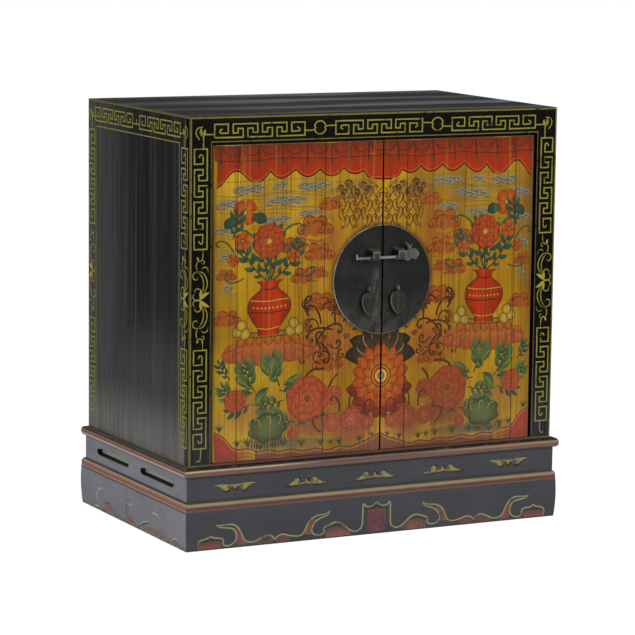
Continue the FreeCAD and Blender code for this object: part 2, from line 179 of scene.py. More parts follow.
def slate(where):
    """Slate-black lacquer, clouded and dusty, with faint brush lines along the boards."""
    brushed = cloud(where, (5, 5, 150), 4.0, 0.6)
    clouds = [(0.3, (34, 37, 44)), (0.55, (46, 48, 56)), (0.75, (60, 57, 62))]
    colour = ramp(cloud(where, (9, 9, 14), 5.0, 0.6), clouds)
    return blend(colour, brushed * 0.45, (62, 63, 68)), brushed


def dust_and_sheen(where):
    """The same lacquer on the sides of the stand, greyed with dust and handling and paler still as a
    painted sheen, with dark stains, thin scratches along the boards and a chipped foot."""
    colour, grain = slate(where)
    # The first tint, a pale grey over most of the board, is dust and a painted sheen together.
    for tint, noise, share in (
            ((114, 114, 119), ((7, 7, 11), 5.0, 0.65, (4, 1, 0)), (0.25, 0.6, 0.66, 0.95)),
            ((66, 64, 68), ((16, 16, 30), 6.0, 0.72, (0, 7, 0)), (0.54, 0.72, 0.0, 0.5)),
            ((72, 66, 64), ((12, 12, 420), 3.0, 0.6, (2, 0, 5)), (0.60, 0.70, 0.0, 0.35))):
        colour = tinge(colour, tint, cloud(where, *noise), *share)
    chipped = cloud(where, (70, 70, 40), 5.0, 0.75, (3, 3, 0)) * 0.034 + parts(where)[2]
    bared = ramp(cloud(where, 120, 4.0, 0.7), [(0.42, (52, 46, 42)), (0.56, (126, 114, 98))])
    return tinge(colour, bared, chipped, 0.031, 0.023, 0.0, 0.75), grain


def lined(lines, spare, base=slate):
    """A lacquer with painted lines at given heights: lines are (height, colour) from the lowest up, and
    spare is the colour that they wear to."""
    def ground(where):
        colour, grain = base(where)
        up = parts(where)[2] + (cloud(where, 14, 3.0) * 0.0012 - 0.0006)
        low, high = lines[0][0], lines[-1][0]
        stops = [((z - low) / (high - low), tint) for z, tint in lines]
        line = ramp((up - low) / (high - low), stops, "CONSTANT")
        line = tinge(line, spare, cloud(where, 60, 5.0, 0.7), 0.46, 0.75, 0.0, 0.5)
        return blend(colour, (up > low) * (up < high), line), grain
    return ground


front_lines = [
    (0.0825, (92, 66, 66)), (0.0856, (88, 42, 28)), (0.0914, (126, 84, 58)), (0.0932, (138, 114, 78)),
    (0.0954, (112, 98, 62)), (0.0988, (66, 60, 42)), (0.1006, (34, 30, 24))]
side_lines = [
    (0.0795, (74, 60, 58)), (0.0832, (144, 108, 98)), (0.0868, (122, 66, 52)), (0.0908, (132, 80, 60)),
    (0.0932, (148, 108, 84)), (0.0960, (160, 132, 110)), (0.0988, (42, 34, 32)), (0.1006, (42, 34, 32))]
four_edges = ("front", "right", "back", "left")
for edge in four_edges:
    ground = lined(front_lines, (96, 74, 60)) if edge == "front" else lined(side_lines, (96, 74, 60), dust_and_sheen)
    clad(f"plinth_{edge}", ground, 0.46, 0.6, (76, 64, 58), 0.0016)


def bent(points, rounds=3):
    """A line through a few points, given in millimetres, whose corners are cut to a quarter and three
    quarters of their legs, over and over, so that it bends like a drawn line."""
    line = np.array(points, float) / 1000
    for _ in range(rounds):
        near, far = 0.75 * line[:-1] + 0.25 * line[1:], 0.25 * line[:-1] + 0.75 * line[1:]
        middle = np.stack([near, far], 1).reshape(-1, 2)
        line = np.concatenate([line[:1], middle[1:-1], line[-1:]])
    return line


def stroke(line, half, tint, edge=None):
    """A brush line: the path carried sideways by half its width, which may change along it, with
    mitred corners. Three points across, so its edges can be darker than its middle."""
    step = np.diff(line, axis=0)
    step = step / np.maximum(np.linalg.norm(step, axis=1, keepdims=True), 1e-9)
    side = np.stack([-step[:, 1], step[:, 0]], 1)
    first, second = np.concatenate([side[:1], side]), np.concatenate([side, side[-1:]])
    mitre = (first + second) / np.maximum(1 + (first * second).sum(1, keepdims=True), 0.4)
    reach = mitre * np.broadcast_to(half, len(line))[:, None]
    tints = np.empty((len(line), 3, 4))
    tints[:, 1], tints[:, ::2] = screen(tint), screen(edge or tint)
    return np.stack([line - reach, line, line + reach], 1), tints


def taper(count, start=0.25, end=0.1):
    """Widths along a brush line that swells from its start and thins to its end."""
    along = np.linspace(0, 1, count)
    return np.minimum(1, start + along * 6) * np.minimum(1, end + (1 - along) * 4)


def brush(points, half, tint, edge=None, ends=None, rounds=3):
    """One brush line bent through a few points, as a list of one shape. half is half its width in
    millimetres, and ends are the start and end of its taper."""
    line = bent(points, rounds)
    return [stroke(line, half / 1000 * (taper(len(line), *ends) if ends else 1), tint, edge)]


def each(draw, rows, *same, **more):
    """One motif drawn from each row of a table; the values that they all share come after the row's."""
    return [shape for row in rows for shape in draw(*row, *same, **more)]


def filled(upper, lower, tint_up, tint_low, rows=5):
    """The area between two lines with the same number of points."""
    part = np.linspace(0, 1, rows)[None, :, None]
    points = upper[:, None] * (1 - part) + lower[:, None] * part
    tints = np.array(screen(tint_up)) * (1 - part) + np.array(screen(tint_low)) * part
    return points, np.broadcast_to(tints, (len(upper), rows, 4)).copy()


def mirrored(shapes, shift=0.0):
    """The same shapes the other way round, then carried sideways."""
    return [(points * (-1, 1) + (shift, 0), tints) for points, tints in shapes]


def coats_under(shapes):
    """For each shape, how many coats of paint lie under it: the deepest of the cells it covers, plus
    one. The shape's grid is filled in until its points lie closer than a cell."""
    cell = 0.003
    corner = np.min([points.min((0, 1)) for points, _ in shapes], axis=0) - 3 * cell
    reach = np.max([points.max((0, 1)) for points, _ in shapes], axis=0) + 3 * cell
    deep = np.zeros(((reach - corner) / cell).astype(int) + 2, int)
    coats = []
    for points, _ in shapes:
        for _ in range(2):
            gap = np.linalg.norm(np.diff(points, axis=0), axis=-1).max(initial=0)
            at = np.linspace(0, len(points) - 1, (len(points) - 1) * (1 + int(gap / cell * 1.5)) + 1)
            low = np.minimum(at.astype(int), len(points) - 2)
            part = (at - low)[:, None, None]
            points = (points[low] * (1 - part) + points[low + 1] * part).swapaxes(0, 1)
        i, j = ((points.reshape(-1, 2) - corner) / cell).astype(int).T
        coat = 1 + max(deep[i + a, j + b].max() for a in (-1, 0, 1) for b in (-1, 0, 1))
        deep[i, j] = coat
        coats.append(coat)
    return coats


def build(name, grids, tints, facing, material, body, slot):
    """One piece from grids of points, each rows x columns x 3 and with its own colours, with quads
    between neighbours, all turned to the side that they face."""
    weld = 1e-6
    faces, start = [], 0
    for grid in grids:
        rows, columns = grid.shape[:2]
        index = np.arange(rows * columns).reshape(rows, columns) + start
        quads = np.stack([index[:-1, :-1], index[:-1, 1:], index[1:, 1:], index[1:, :-1]], -1)
        one, two = grid[1:, 1:] - grid[:-1, :-1], grid[1:, :-1] - grid[:-1, 1:]
        if np.cross(one, two).sum((0, 1)) @ np.array(facing) > 0:
            quads = quads[..., ::-1]
        faces.append(quads.reshape(-1, 4))
        start += rows * columns
    mesh = bpy.data.meshes.new(name)
    points = np.concatenate([grid.reshape(-1, 3) for grid in grids])
    mesh.from_pydata(points, [], np.concatenate(faces).tolist())
    layer = mesh.color_attributes.new("paint", "FLOAT_COLOR", "POINT")
    shades = np.concatenate([tint.reshape(-1, 4) for tint in tints])
    layer.data.foreach_set("color", shades.astype(np.float32).ravel())
    loose = bmesh.new()
    loose.from_mesh(mesh)
    bmesh.ops.remove_doubles(loose, verts=loose.verts, dist=weld)
    bmesh.ops.dissolve_degenerate(loose, edges=loose.edges, dist=weld)
    loose.to_mesh(mesh)
    loose.free()
    mesh.shade_smooth()
    mesh.materials.append(material)
    piece = bpy.data.objects.new(name, mesh)
    bpy.context.scene.collection.objects.link(piece)
    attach(piece, body)


def paint(name, shapes, facing, put_on, material, body, slot):
    """Paint laid on a board: flat shapes, the first 0.1 mm over it and each coat 0.01 mm over the last.
    put_on(points, lift) takes their two measures on the board to its surface."""
    first, coat = 0.00010, 0.00001
    grids = [put_on(points, first + coat * under) for (points, _), under in zip(shapes, coats_under(shapes))]
    build(name, grids, [tints for _, tints in shapes], facing, material, body, slot)


def onto(facing, reach, inward=np.zeros_like, aside=0.0):
    """Takes the two measures of a flat design, along a board and up it, to the board's face. reach is
    how far the face lies from the middle of the cabinet, inward how far less at a height, and aside
    how far the design is carried along."""
    def put_on(points, lift):
        along, up = points[..., 0] + aside, points[..., 1]
        out = reach - inward(up) + lift
        return np.stack([facing[0] * out, along, up] if facing[0] else [along, facing[1] * out, up], -1)
    return put_on


def plinth_in(height):
    """How far the plinth's face lies inside its fullest part: a shallow curve through 1.5 mm at the
    shoulder, nothing a little above the middle and 3 mm at the floor."""
    return np.polyval(np.polyfit([0.090, 0.0495, 0.0], [0.0015, 0.0, 0.003], 2), height)


gold, gold_edge, brick, brick_pale = (156, 151, 104), (92, 88, 54), (106, 60, 54), (126, 74, 62)
hook_out = bent([
    (-373, 52), (-366, 50), (-340, 52), (-326, 46), (-316, 32), (-309, 14), (-296, 8), (-282, 9), (-268, 17),
    (-254, 21), (-244, 18), (-238, 8), (-233, 16), (-220, 20), (-206, 15), (-192, 12), (-175, 12), (-168, 24),
    (-160, 42), (-145, 52), (-122, 53), (-110, 59)])
hook_in = bent([
    (-373, 52), (-366, 46), (-344, 44), (-332, 40), (-326, 28), (-328, 14), (-338, 7), (-349, 5), (-358, 10),
    (-356, 19), (-361, 24), (-380, 25), (-385, 31), (-391, 26), (-411, 22), (-415, 14), (-412, 3)])
arch = bent([
    (-110, 59), (-116, 50), (-134, 46), (-147, 38), (-154, 24), (-150, 13), (-138, 9), (-128, 10), (-121, 15),
    (-127, 23), (-118, 27), (-98, 35), (-82, 31), (-66, 16), (-54, 9), (-42, 10), (-34, 18), (-33, 34),
    (-33, 71), (-26, 61), (-16, 59), (-7, 63), (0, 69)])


def under(line, first, last, tint=brick, rows=5):
    """The area under a stretch of a drawn line, down to the foot of the board."""
    edge = line[(line[:, 0] > first / 1000) & (line[:, 0] < last / 1000)] - (0, 0.002)
    return filled(edge, edge * (1, 0) + (0, 0.003), brick, tint, rows)


def thinned(shapes, top):
    """The same shapes, their paint thinner the higher it lies, down to nothing near the given height."""
    for points, tints in shapes:
        tints[..., 3] *= np.clip(1.2 - points[..., 1] / top, 0.08, 1)
    return shapes


throat = filled(bent([(-330, 42), (-325, 30), (-327, 14), (-327, 5)]),
                bent([(-323, 42), (-315, 30), (-309, 14), (-302, 5)]), brick, brick_pale)
far_throat = filled(bent([(-170, 14), (-165, 28), (-157, 40), (-148, 48)]),
                    bent([(-153, 12), (-153, 26), (-148, 38), (-142, 44)]), brick_pale, brick)
apron = thinned([throat, far_throat], 0.075)
apron += thinned([under(hook_out, -280, -240), under(hook_out, -237, -200)], 0.024)
apron += thinned([under(hook_in[len(hook_in) // 2:], -412, -360, (134, 62, 52), rows=7)], 0.022)
apron += thinned([under(arch[len(arch) // 3:], -120, -60, (136, 84, 70), rows=7)], 0.030)
for line in ([(-408, 18), (-384, 21), (-364, 19)], [(-118, 22), (-98, 29), (-84, 24)],
             [(-26, 56), (0, 61), (26, 56)]):
    apron += brush(line, 1.2, (22, 18, 18))
for line in (hook_out, hook_in, arch):
    apron.append(stroke(line, 0.0020 * taper(len(line), 0.5, 0.5), gold, gold_edge))
apron += mirrored(apron)
rose, dark_rose = (112, 58, 64), (76, 36, 42)
shield = np.array([(-0.020, 0.054), (-0.010, 0.052), (0, 0.056), (0.010, 0.052), (0.020, 0.054)])
apron.append(filled(shield, shield * (1, 0) + (0, 0.005), rose, rose))
for level in range(8, 50, 8):
    for lean in (-17, 17):
        apron += brush([(-lean, level - 6), (lean, level + 10)], 0.9, dark_rose)
for edge in (-17, 17):
    apron += brush([(edge, 6), (edge, 20), (edge, 36), (edge, 50)], 0.9, dark_rose)

plinth_front, plinth_side, to_front = 0.277, 0.442, (0, -1, 0)
worn_front = finish("plinth_apron_paint", slate, 0.5, 0.6, painted=0.12)
on_plinth = onto(to_front, plinth_front, plinth_in)
paint("plinth_apron_front", apron, to_front, on_plinth, worn_front, "cabinet", "stand_lacquer")

# The shade strokes are a painted shadow, drawn just below or beside the pale lines.
bone, beige, shade = (160, 152, 134), (122, 110, 94), (46, 40, 38)
salmon, deep_salmon = (146, 102, 92), (128, 76, 62)
side_apron = []
for tint, *patch in (
        (deep_salmon, (140, 24, 12), (120, 26, 10), (100, 18, 8), (86, 12, 9)),
        (deep_salmon, (22, 20, 8), (10, 24, 6), (0, 20, 6), (-6, 12, 8)),
        (salmon, (-68, 12, 7), (-96, 22, 8), (-112, 24, 12), (-130, 18, 8)),
        (deep_salmon, (-128, 18, 8), (-146, 26, 10), (-162, 20, 10), (-176, 12, 7)),
        (salmon, (-208, 12, 5), (-222, 17, 5), (-240, 16, 5), (-250, 10, 5))):
    patch = np.array(patch)
    side_apron.append(filled(bent(patch[:, :2]), bent(patch[:, ::2]), tint, deep_salmon, 4))
side_apron = thinned(side_apron, 0.040)
side_apron += each(brush, (
    ([(192, 20), (187, 40), (173, 51), (150, 54)], 2.0, bone), ([(206, 8), (190, 9), (176, 8)], 1.8, bone),
    ([(149, 19), (140, 26), (114, 26)], 1.5, shade), ([(146, 23), (136, 30), (110, 31)], 1.2, beige),
    ([(68, 8), (52, 6), (34, 11)], 1.8, beige), ([(34, 45), (35, 36), (35, 27), (34, 18)], 3.6, beige),
    ([(27, 46), (27, 35), (27, 24), (27, 13)], 1.5, shade), ([(22, 49), (8, 44), (-8, 50)], 1.5, bone),
    ([(-30, 6), (-62, 18), (-94, 26)], 1.4, shade), ([(-32, 9), (-62, 22), (-96, 30)], 1.4, bone),
    ([(-106, 50), (-130, 53), (-147, 47)], 1.8, bone), ([(-142, 50), (-155, 36), (-156, 18)], 2.2, salmon),
    ([(-152, 30), (-155, 12)], 1.2, shade), ([(-204, 8), (-217, 18), (-234, 19), (-254, 9)], 1.5, bone),
    ([(-207, 7), (-218, 14), (-234, 15), (-248, 8)], 1.1, shade)), ends=(0.5, 0.5))
much_worn = finish("plinth_side_paint", dust_and_sheen, 0.5, 0.6, painted=0.08)
sides = {"left": (-1, 0, 0), "right": (1, 0, 0)}
for side, facing in sides.items():
    on_plinth = onto(facing, plinth_side, plinth_in, 0.00225)
    paint(f"plinth_apron_{side}", side_apron, facing, on_plinth, much_worn, "cabinet", "stand_lacquer")

# ------------------------------------------------------------------ waist
# Four mitred boards let back from the plinth, lacquered slate black. The front has five sunk bats
# with low gilded relief in them, and each side two long sunk slots, black inside and lined with
# old gold.
waist_front, waist_side, waist_middle = 0.269, 0.4365, 0.129


def sunk_black(where):
    """Slate lacquer, greyed on the sides by dust and a painted sheen, with the walls of the side slots
    black and their floors grey over a band of painted shadow at the foot. The shallow sinkings of the
    front are painted dark as shade, and painted shadow lines run along the foot of the waist and
    under its top."""
    front, grain = slate(where)
    x, y, z = parts(where)
    side = abs(x) - waist_side
    colour = blend(front, side > -0.0002, dust_and_sheen(where)[0])
    # Painted shadow: near black along the foot of the waist and under the moulding of the stand top.
    painted_shadow = maths("MAXIMUM", spread(z, 0.1056, 0.1020), spread(z, 0.1496, 0.1518))
    colour = blend(colour, painted_shadow * 0.94, (10, 9, 8))
    # The lowest part of each slot's floor is painted black as a painted shadow.
    slot_floor = tinge((5, 5, 5), (140, 140, 128), z, 0.1226, 0.1242, 0.0, 1.0)
    inner = blend((5, 5, 5), side < -0.0117, slot_floor)
    inner = blend((20, 20, 18), side > -0.0124, inner)
    # The floors of the front sinkings are painted dark as painted shade.
    sunk = maths("MAXIMUM", side, -waist_front - y) < -0.0004
    return blend(colour, sunk * (abs(z - waist_middle) < 0.016), inner), grain


for edge in four_edges:
    clad(f"waist_{edge}", sunk_black, 0.44, 0.6, (72, 62, 60), 0.0012)


def bat_outline(across):
    """The upper and lower edge of a sunk bat at places across it, from one wing tip at -1 to the
    other at 1, each between 0 and 1 of its height: smooth wings, a hump between them, a level foot."""
    at = np.abs(across)
    top = np.interp(at, [0, 0.06, 0.10, 0.16, 0.20, 0.25, 0.36, 0.48, 0.60, 0.72, 0.86, 1],
                    [0.82, 0.70, 0.47, 0.44, 0.60, 0.80, 0.96, 0.86, 0.58, 0.37, 0.24, 0.14])
    foot = np.interp(at, [0, 0.25, 0.45, 0.6, 0.8, 1], [0.10, 0.05, 0.0, -0.02, 0.03, 0.14])
    return top, foot


def bat_relief(centre, up):
    """A gilded bat in low relief: between its two edges the height rises like a pillow, cut by
    feather grooves that lean outwards on the wings, with a deep eye in each wing's curl. The gilt is
    painted darker down the grooves and towards the edges, and near black in the eyes, as painted shade."""
    half_length, tall, level_of, sunk_to, high = 0.053, 0.019, 0.126, 0.26605, 0.0023
    across, share = np.meshgrid(np.linspace(-0.985, 0.985, 121), np.linspace(0, 1, 13), indexing="ij")
    wing = np.abs(across)
    top, foot = bat_outline(across)
    level = foot + (top - foot) * share
    pillow = np.sin(np.pi * share) ** 0.55 * np.minimum(1, (1 - wing) * 9) ** 0.6
    groove = np.abs(np.sin(np.pi * (wing * 7 + share * 1.4)))
    eye = np.exp(-(((wing - 0.27) / 0.055) ** 2 + ((level - 0.42) / 0.16) ** 2))
    height = high * pillow * (0.62 + 0.38 * groove) * (1 - 0.85 * eye)
    z = level_of + up * (level - 0.5) * tall
    points = np.stack([centre + across * half_length, -sunk_to - height, z], -1)
    # Painted shade: the gilt darkens with the height of the relief and in the eyes.
    shading_share = np.clip(pillow * (0.45 + 0.55 * groove), 0, 1)[..., None]
    middle = 0.55 * np.exp(-(across / 0.34) ** 2)[..., None]
    dark, gilt, pink = (np.array(screen(tint)) for tint in ((74, 62, 36), (152, 146, 84), (142, 108, 84)))
    tints = dark * (1 - shading_share) + (gilt * (1 - middle) + pink * middle) * shading_share
    tints *= 1 - 0.92 * eye[..., None]
    tints[..., 3] = 1
    return points, tints


gilding = finish("waist_gilding", slate, 0.48, 0.45, painted=0.12)
bats = [bat_relief(step * 0.163, -1 if abs(step) == 2 else 1) for step in (-2, -1, 0, 1, 2)]
build("waist_bats", *zip(*bats), to_front, gilding, "cabinet", "stand_lacquer")

slot_rim = np.array([(-88, 0), (-80, 7.6), (-71, 6.8), (-62, 9.9), (62, 9.9), (71, 6.8), (80, 7.6), (88, 0),
                     (84, -7.6), (75, -9.9), (-75, -9.9), (-84, -7.6), (-88, 0)])
rims = [stroke(bent(slot_rim + (place, 1000 * waist_middle), 2), 0.0010, (134, 130, 98), (104, 102, 78))
        for place in (-118.75, 115.25)]
slot_gold = finish("slot_gold", dust_and_sheen, 0.5, 0.6, painted=0.24)
for side, facing in sides.items():
    paint(f"slot_lines_{side}", rims, facing, onto(facing, waist_side), slot_gold, "cabinet", "stand_lacquer")

# ------------------------------------------------------------------ top of the stand
# Four mitred rails whose outer edge is rounded above and below, lined in pale gold, orange
# brown and a worn red, with a bearer let in across the middle. Four posts stiffen the corners.
# On the front rail, the last stops paint everything from 168 mm up near black: a painted shadow of the gap
# under the case.
front_edge = [
    (0.1530, (72, 62, 62)), (0.1560, (104, 82, 78)), (0.1604, (112, 70, 56)), (0.1634, (128, 94, 66)),
    (0.1652, (166, 153, 118)), (0.1680, (16, 8, 4)), (0.1745, (16, 8, 4))]
side_edge = [
    (0.1545, (122, 114, 114)), (0.1575, (172, 152, 146)), (0.1604, (142, 104, 90)), (0.1630, (64, 34, 26)),
    (0.1650, (130, 96, 72)), (0.1685, (80, 50, 38)), (0.1700, (48, 38, 30)), (0.1716, (86, 82, 68)),
    (0.1745, (20, 10, 6))]


def worn_edge(where):
    """The front rail: its pale gold line has gone brown in the middle and orange to the right."""
    colour, grain = lined(front_edge, (104, 84, 70))(where)
    x, _, z = parts(where)
    band = spread(z, 0.1630, 0.1640) * spread(z, 0.1686, 0.1676) * spread(x, -0.26, -0.10, 0.0, 0.9)
    return blend(colour, band, tinge((82, 58, 44), (136, 100, 62), x, 0.04, 0.26, 0.0, 1.0)), grain


for edge in four_edges:
    ground = worn_edge if edge == "front" else lined(side_edge, (104, 84, 70), dust_and_sheen)
    clad(f"stand_top_{edge}", ground, 0.46, 0.5, (112, 92, 74), 0.0012)


def drawn_out(axis, across, along):
    """How often a noise turns over in a metre along X, Y and Z where it is drawn out along one axis."""
    return np.array([along if name == axis else across for name in "xyz"])


def plain_wood(dark, pale, along):
    """Bare softwood: growth rings drawn out along the grain, with finer pores and stains."""
    def ground(where):
        stretch = drawn_out(along, 46, 2.2)
        rings = cloud(where, stretch, 5.0, 0.62)
        colour = ramp(rings, [(0.3, dark), (0.55, pale), (0.7, dark)])
        colour = blend(colour, cloud(where, 9 * stretch, 2.0, 0.5) * 0.45, dark)
        return tinge(colour, (58, 44, 32), cloud(where, 6, 5.0, 0.6), 0.35, 0.8, 0.0, 0.5), rings
    return ground


def clad_in_wood(board, along, dark=(88, 64, 42), pale=(128, 98, 66)):
    rubbed = [1.15 * part for part in pale]
    clad(board, plain_wood(dark, pale, along), 0.68, 0.25, rubbed, 0.0012, bump=0.3)


clad_in_wood("stand_top_bearer", "y")
for corner in ("front_left", "front_right", "back_left", "back_right"):
    clad_in_wood(f"stand_post_{corner}", "z")

# ------------------------------------------------------------------ case
# Sides and top of wide softwood boards mitred together, the floor and a back of three thin boards
# let into them. Outside they are lacquered black over a dark ground and rubbed by hands; inside
# they are bare, with a thin brown wash.


def black_lacquer(along, dark, pale, fine=60, broad=14, dust=None):
    """Old black lacquer with long streaks where the wood's grain has worn through it. fine and broad
    are how many streaks lie in a metre, and dust is the colour that greys its foot."""
    def ground(where):
        grain = cloud(where, drawn_out(along, fine, fine / 50), 4.0, 0.66)
        streak = grain * 0.62 + cloud(where, drawn_out(along, broad, broad / 20), 4.0, 0.6, (3, 3, 3)) * 0.38
        middle = [(2 * a + b) / 3 for a, b in zip(dark, pale)]
        colour = ramp(streak, [(0.38, dark), (0.5, middle), (0.62, pale)])
        if dust:
            low = spread(parts(where)[2], 0.36, 0.19, 0.0, 0.8)
            colour = blend(colour, low * spread(streak, 0.3, 0.62, 0.35, 1.0), dust)
        return colour, grain
    return ground


def side_black(where):
    """The sides' lacquer, greyed by dust towards the foot, and paler towards the back as a painted sheen."""
    colour, grain = black_lacquer("z", (11, 11, 13), (43, 43, 46), 90, 17)(where)
    _, y, z = parts(where)
    low = spread(z, 0.50, 0.34, 0.0, 0.22) + spread(z, 0.32, 0.19, 0.0, 0.70)
    # The paling towards the back is a painted sheen; that towards the foot is dust.
    share = maths("MAXIMUM", low, spread(y, -0.04, 0.24, 0.0, 0.36))
    patch = spread(cloud(where, (80, 80, 4), 5.0, 0.7, (1, 0, 8)), 0.34, 0.62, 0.72, 1.08)
    return blend(colour, share * patch, (98, 96, 93)), grain


def top_black(where):
    """The top's lacquer, with broad pale bands that are partly dust and partly a painted sheen: a sine
    across the board, pushed about by soft noise and broken by finer streaks along the grain, fainter at
    its left end."""
    x, y, _ = parts(where)
    push = cloud(where, (1.5, 8, 8), 4.0, 0.6, (0, 2, 0))
    grain = cloud(where, (1.1, 66, 66), 4.0, 0.68)
    broken = cloud(where, (2.4, 26, 26), 4.0, 0.6, (7, 0, 0))
    band = maths("SINE", push * 6.0 + (y * 39.3 - 4.77)) * 0.20 + 0.02
    streak = band + grain * 0.95 + broken * 0.9 - 0.45
    share = spread(streak, 0.30, 1.0) * spread(x, -0.38, 0.02, 0.42, 1.0) * spread(y, -0.25, -0.15, 0.62, 1.0)
    return blend((9, 9, 10), share, (142, 142, 146)), grain


def floor_wood(where):
    """Bare wood, with the lip under the doors painted a red brown."""
    colour, grain = plain_wood((70, 50, 34), (104, 78, 52), "x")(where)
    return blend(colour, parts(where)[1] < -0.2445, (98, 62, 54)), grain


for side in sides:
    clad(f"case_side_{side}", side_black, 0.5, 0.25, (84, 78, 50), 0.002)
clad("case_top", top_black, 0.42, 0.4, (104, 100, 62), 0.004)
clad("case_floor", floor_wood, 0.68, 0.25, bump=0.3)
for part in ("left", "middle", "right"):
    clad_in_wood(f"case_back_{part}", "z", (56, 42, 30), (84, 64, 46))

# ------------------------------------------------------------------ shelf and stop
# A softwood shelf lying on two cleats nailed to the sides, and a strip behind the top rail
# that stops the doors. They have only the thin brown wash of the inside.
clad_in_wood("shelf", "x", (78, 56, 38), (112, 84, 56))
clad_in_wood("door_stop_strip", "x", (60, 44, 30), (90, 68, 46))
for side in sides:
    clad_in_wood(f"shelf_cleat_{side}", "y")

# ------------------------------------------------------------------ front frame
# Two stiles and a top rail of softwood, tenoned together in front of the case, lacquered deep
# black. Their border is drawn with one brush in olive gold: key-fret groups on the rail,
# linked by rings, and a fret, a flowering vine and a fret down each stile.
case_side, case_front, case_low, case_high = 0.430, 0.265, 0.173, 0.891
whole_front = [(-case_side, -case_front, case_low), (case_side, -0.241, case_high)]
stile_black = black_lacquer("z", (8, 7, 3), (17, 15, 9), dust=(54, 54, 60))
rail_black = black_lacquer("x", (8, 7, 3), (17, 15, 9))
for board, ground in (("stile_left", stile_black), ("stile_right", stile_black), ("top_rail", rail_black)):
    clad(board, ground, 0.46, 0.06, (96, 88, 46), box=whole_front)

olive, olive_edge, leaf_gold = (148, 143, 56), (96, 91, 30), (160, 134, 50)


def olive_line(points, half):
    return brush(points, half, olive, olive_edge)


def fret(start, along, across):
    """A key-fret group drawn in one line: a square spiral, two pairs of interlocking hooks and the
    spiral again, mirrored. Steps are counted along it, up to 18.25, and across it, from 0 to 1."""
    half = np.array([(1.55, 0.36), (1.08, 0.46), (1.04, 0.60), (1.3, 0.67), (2.7, 0.67), (2.7, 0), (0, 0),
        (0, 1), (5.7, 1), (5.7, 0.34), (4.7, 0.34), (4.7, 0.67), (3.7, 0.67), (3.7, 0), (8.65, 0),
        (8.65, 0.67), (7.65, 0.67), (7.65, 0.34), (6.65, 0.34), (6.65, 1), (9.125, 1)])
    steps = np.concatenate([half, (half * (-1, 1) + (18.25, 0))[-2::-1]])
    share = steps / (18.25, 1)
    line = (np.array(start) + share[:, :1] * along + share[:, 1:] * across) / 1000
    cut = np.linspace(0, 1, 4)[:-1, None]
    fine = line[:-1, None] * (1 - cut) + line[1:, None] * cut
    line = np.concatenate([fine.reshape(-1, 2), line[-1:]])
    drift = np.sin(line[:, ::-1] * 240 + line.sum(1, keepdims=True) * 90) * 0.00022
    wide = 0.0016 * (1 + 0.10 * np.sin(np.arange(len(line)) * 0.9))
    return stroke(line + drift, wide, olive, olive_edge)


def ring_knot(x, z):
    """The ring between two groups: a round line with a small inward cusp at each side, and the two
    short links that reach it at different heights."""
    angle = np.linspace(0, 2 * np.pi, 61)
    radius = 13.4 - 3.0 * np.exp(-(np.sin(angle) / 0.16) ** 2)
    ring = np.stack([x + radius * np.cos(angle), z + radius * np.sin(angle)], 1) / 1000
    return [stroke(ring, 0.0016, olive, olive_edge),
            *olive_line([(x - 35, z - 5.5), (x - 14, z - 5.5), (x - 10, z - 1)], 1.4),
            *olive_line([(x + 38, z + 3.5), (x + 14, z + 3.5), (x + 10, z)], 1.4)]


def petal(base, tip, wide, root, point, bow=0.0, full=0.45, rim=None, rows=13):
    """A leaf or petal: a midline bowed sideways, and a width that rises to its fullest part and
    closes to a point. Its edges are a little darker, and a rim lies under it if one is given."""
    base, tip = np.array(base, float) / 1000, np.array(tip, float) / 1000
    along = np.linspace(0, 1, rows)
    reach = tip - base
    side = np.array([-reach[1], reach[0]])
    middle = base + reach * along[:, None] + side * (4 * bow * along * (1 - along))[:, None]
    way = np.gradient(middle, axis=0)
    way = way / np.linalg.norm(way, axis=1, keepdims=True)
    out = np.stack([-way[:, 1], way[:, 0]], 1)
    width = np.sin(np.pi * along ** (np.log(0.5) / np.log(full))) ** 0.75 * wide / 2000
    across = np.array([-1, -0.55, 0, 0.55, 1])
    shade = np.array([0.72, 0.94, 1.06, 0.94, 0.72])

    def carried(extra):
        return middle[:, None] + out[:, None] * (width + extra)[:, None, None] * across[:, None]

    part = along[:, None, None]
    tints = (np.array(screen(root)) * (1 - part) + np.array(screen(point)) * part) * shade[:, None]
    tints[..., 3] = 1
    return rimmed(carried, 0.0008, tints, rim)


def rimmed(carried, wider, tints, rim):
    """A shape, and under it the same shape a little wider in the colour of its rim, if it has one."""
    under = [(carried(wider), np.broadcast_to(screen(rim), tints.shape).copy())] if rim else []
    return under + [(carried(0.0), tints)]


def vine_half():
    """The upper half of the left stile's vine."""
    shapes = each(brush, (
        ([(-401, 622), (-401, 604), (-405, 598), (-411, 599), (-413, 606)], 1.5),
        ([(-402, 602), (-397, 598), (-400, 592), (-404, 594)], 1.1),
        ([(-411, 600), (-416, 593), (-415, 582), (-411, 577)], 1.3),
        ([(-411, 577), (-417, 577), (-424, 572), (-422, 562), (-414, 560), (-411, 567)], 1.3),
        ([(-413, 577), (-402, 577), (-393, 564), (-390, 549), (-396, 537), (-401, 526)], 1.4),
        ([(-412, 576), (-403, 568), (-399, 554), (-400, 540), (-403, 526)], 1.3),
        ([(-404, 582), (-399, 587), (-390, 584), (-389, 573)], 1.2),
        ([(-403, 527), (-404, 538), (-412, 544), (-420, 539), (-418, 532)], 1.3),
        ([(-406, 520), (-414, 517), (-422, 521), (-423, 530), (-418, 533)], 1.2)),
        olive, olive_edge, (0.25, 0.1))
    shapes += petal((-409, 519), (-386, 534), 8, leaf_gold, olive, 0.06)
    shapes += petal((-404, 520), (-404, 540), 6, leaf_gold, olive, 0.1)
    return shapes + petal((-411, 598), (-414, 608), 5, olive, leaf_gold)


def turned(shapes, level):
    """The same shapes upside down about a height."""
    return [(points * (1, -1) + (0, 2 * level), tints) for points, tints in shapes]


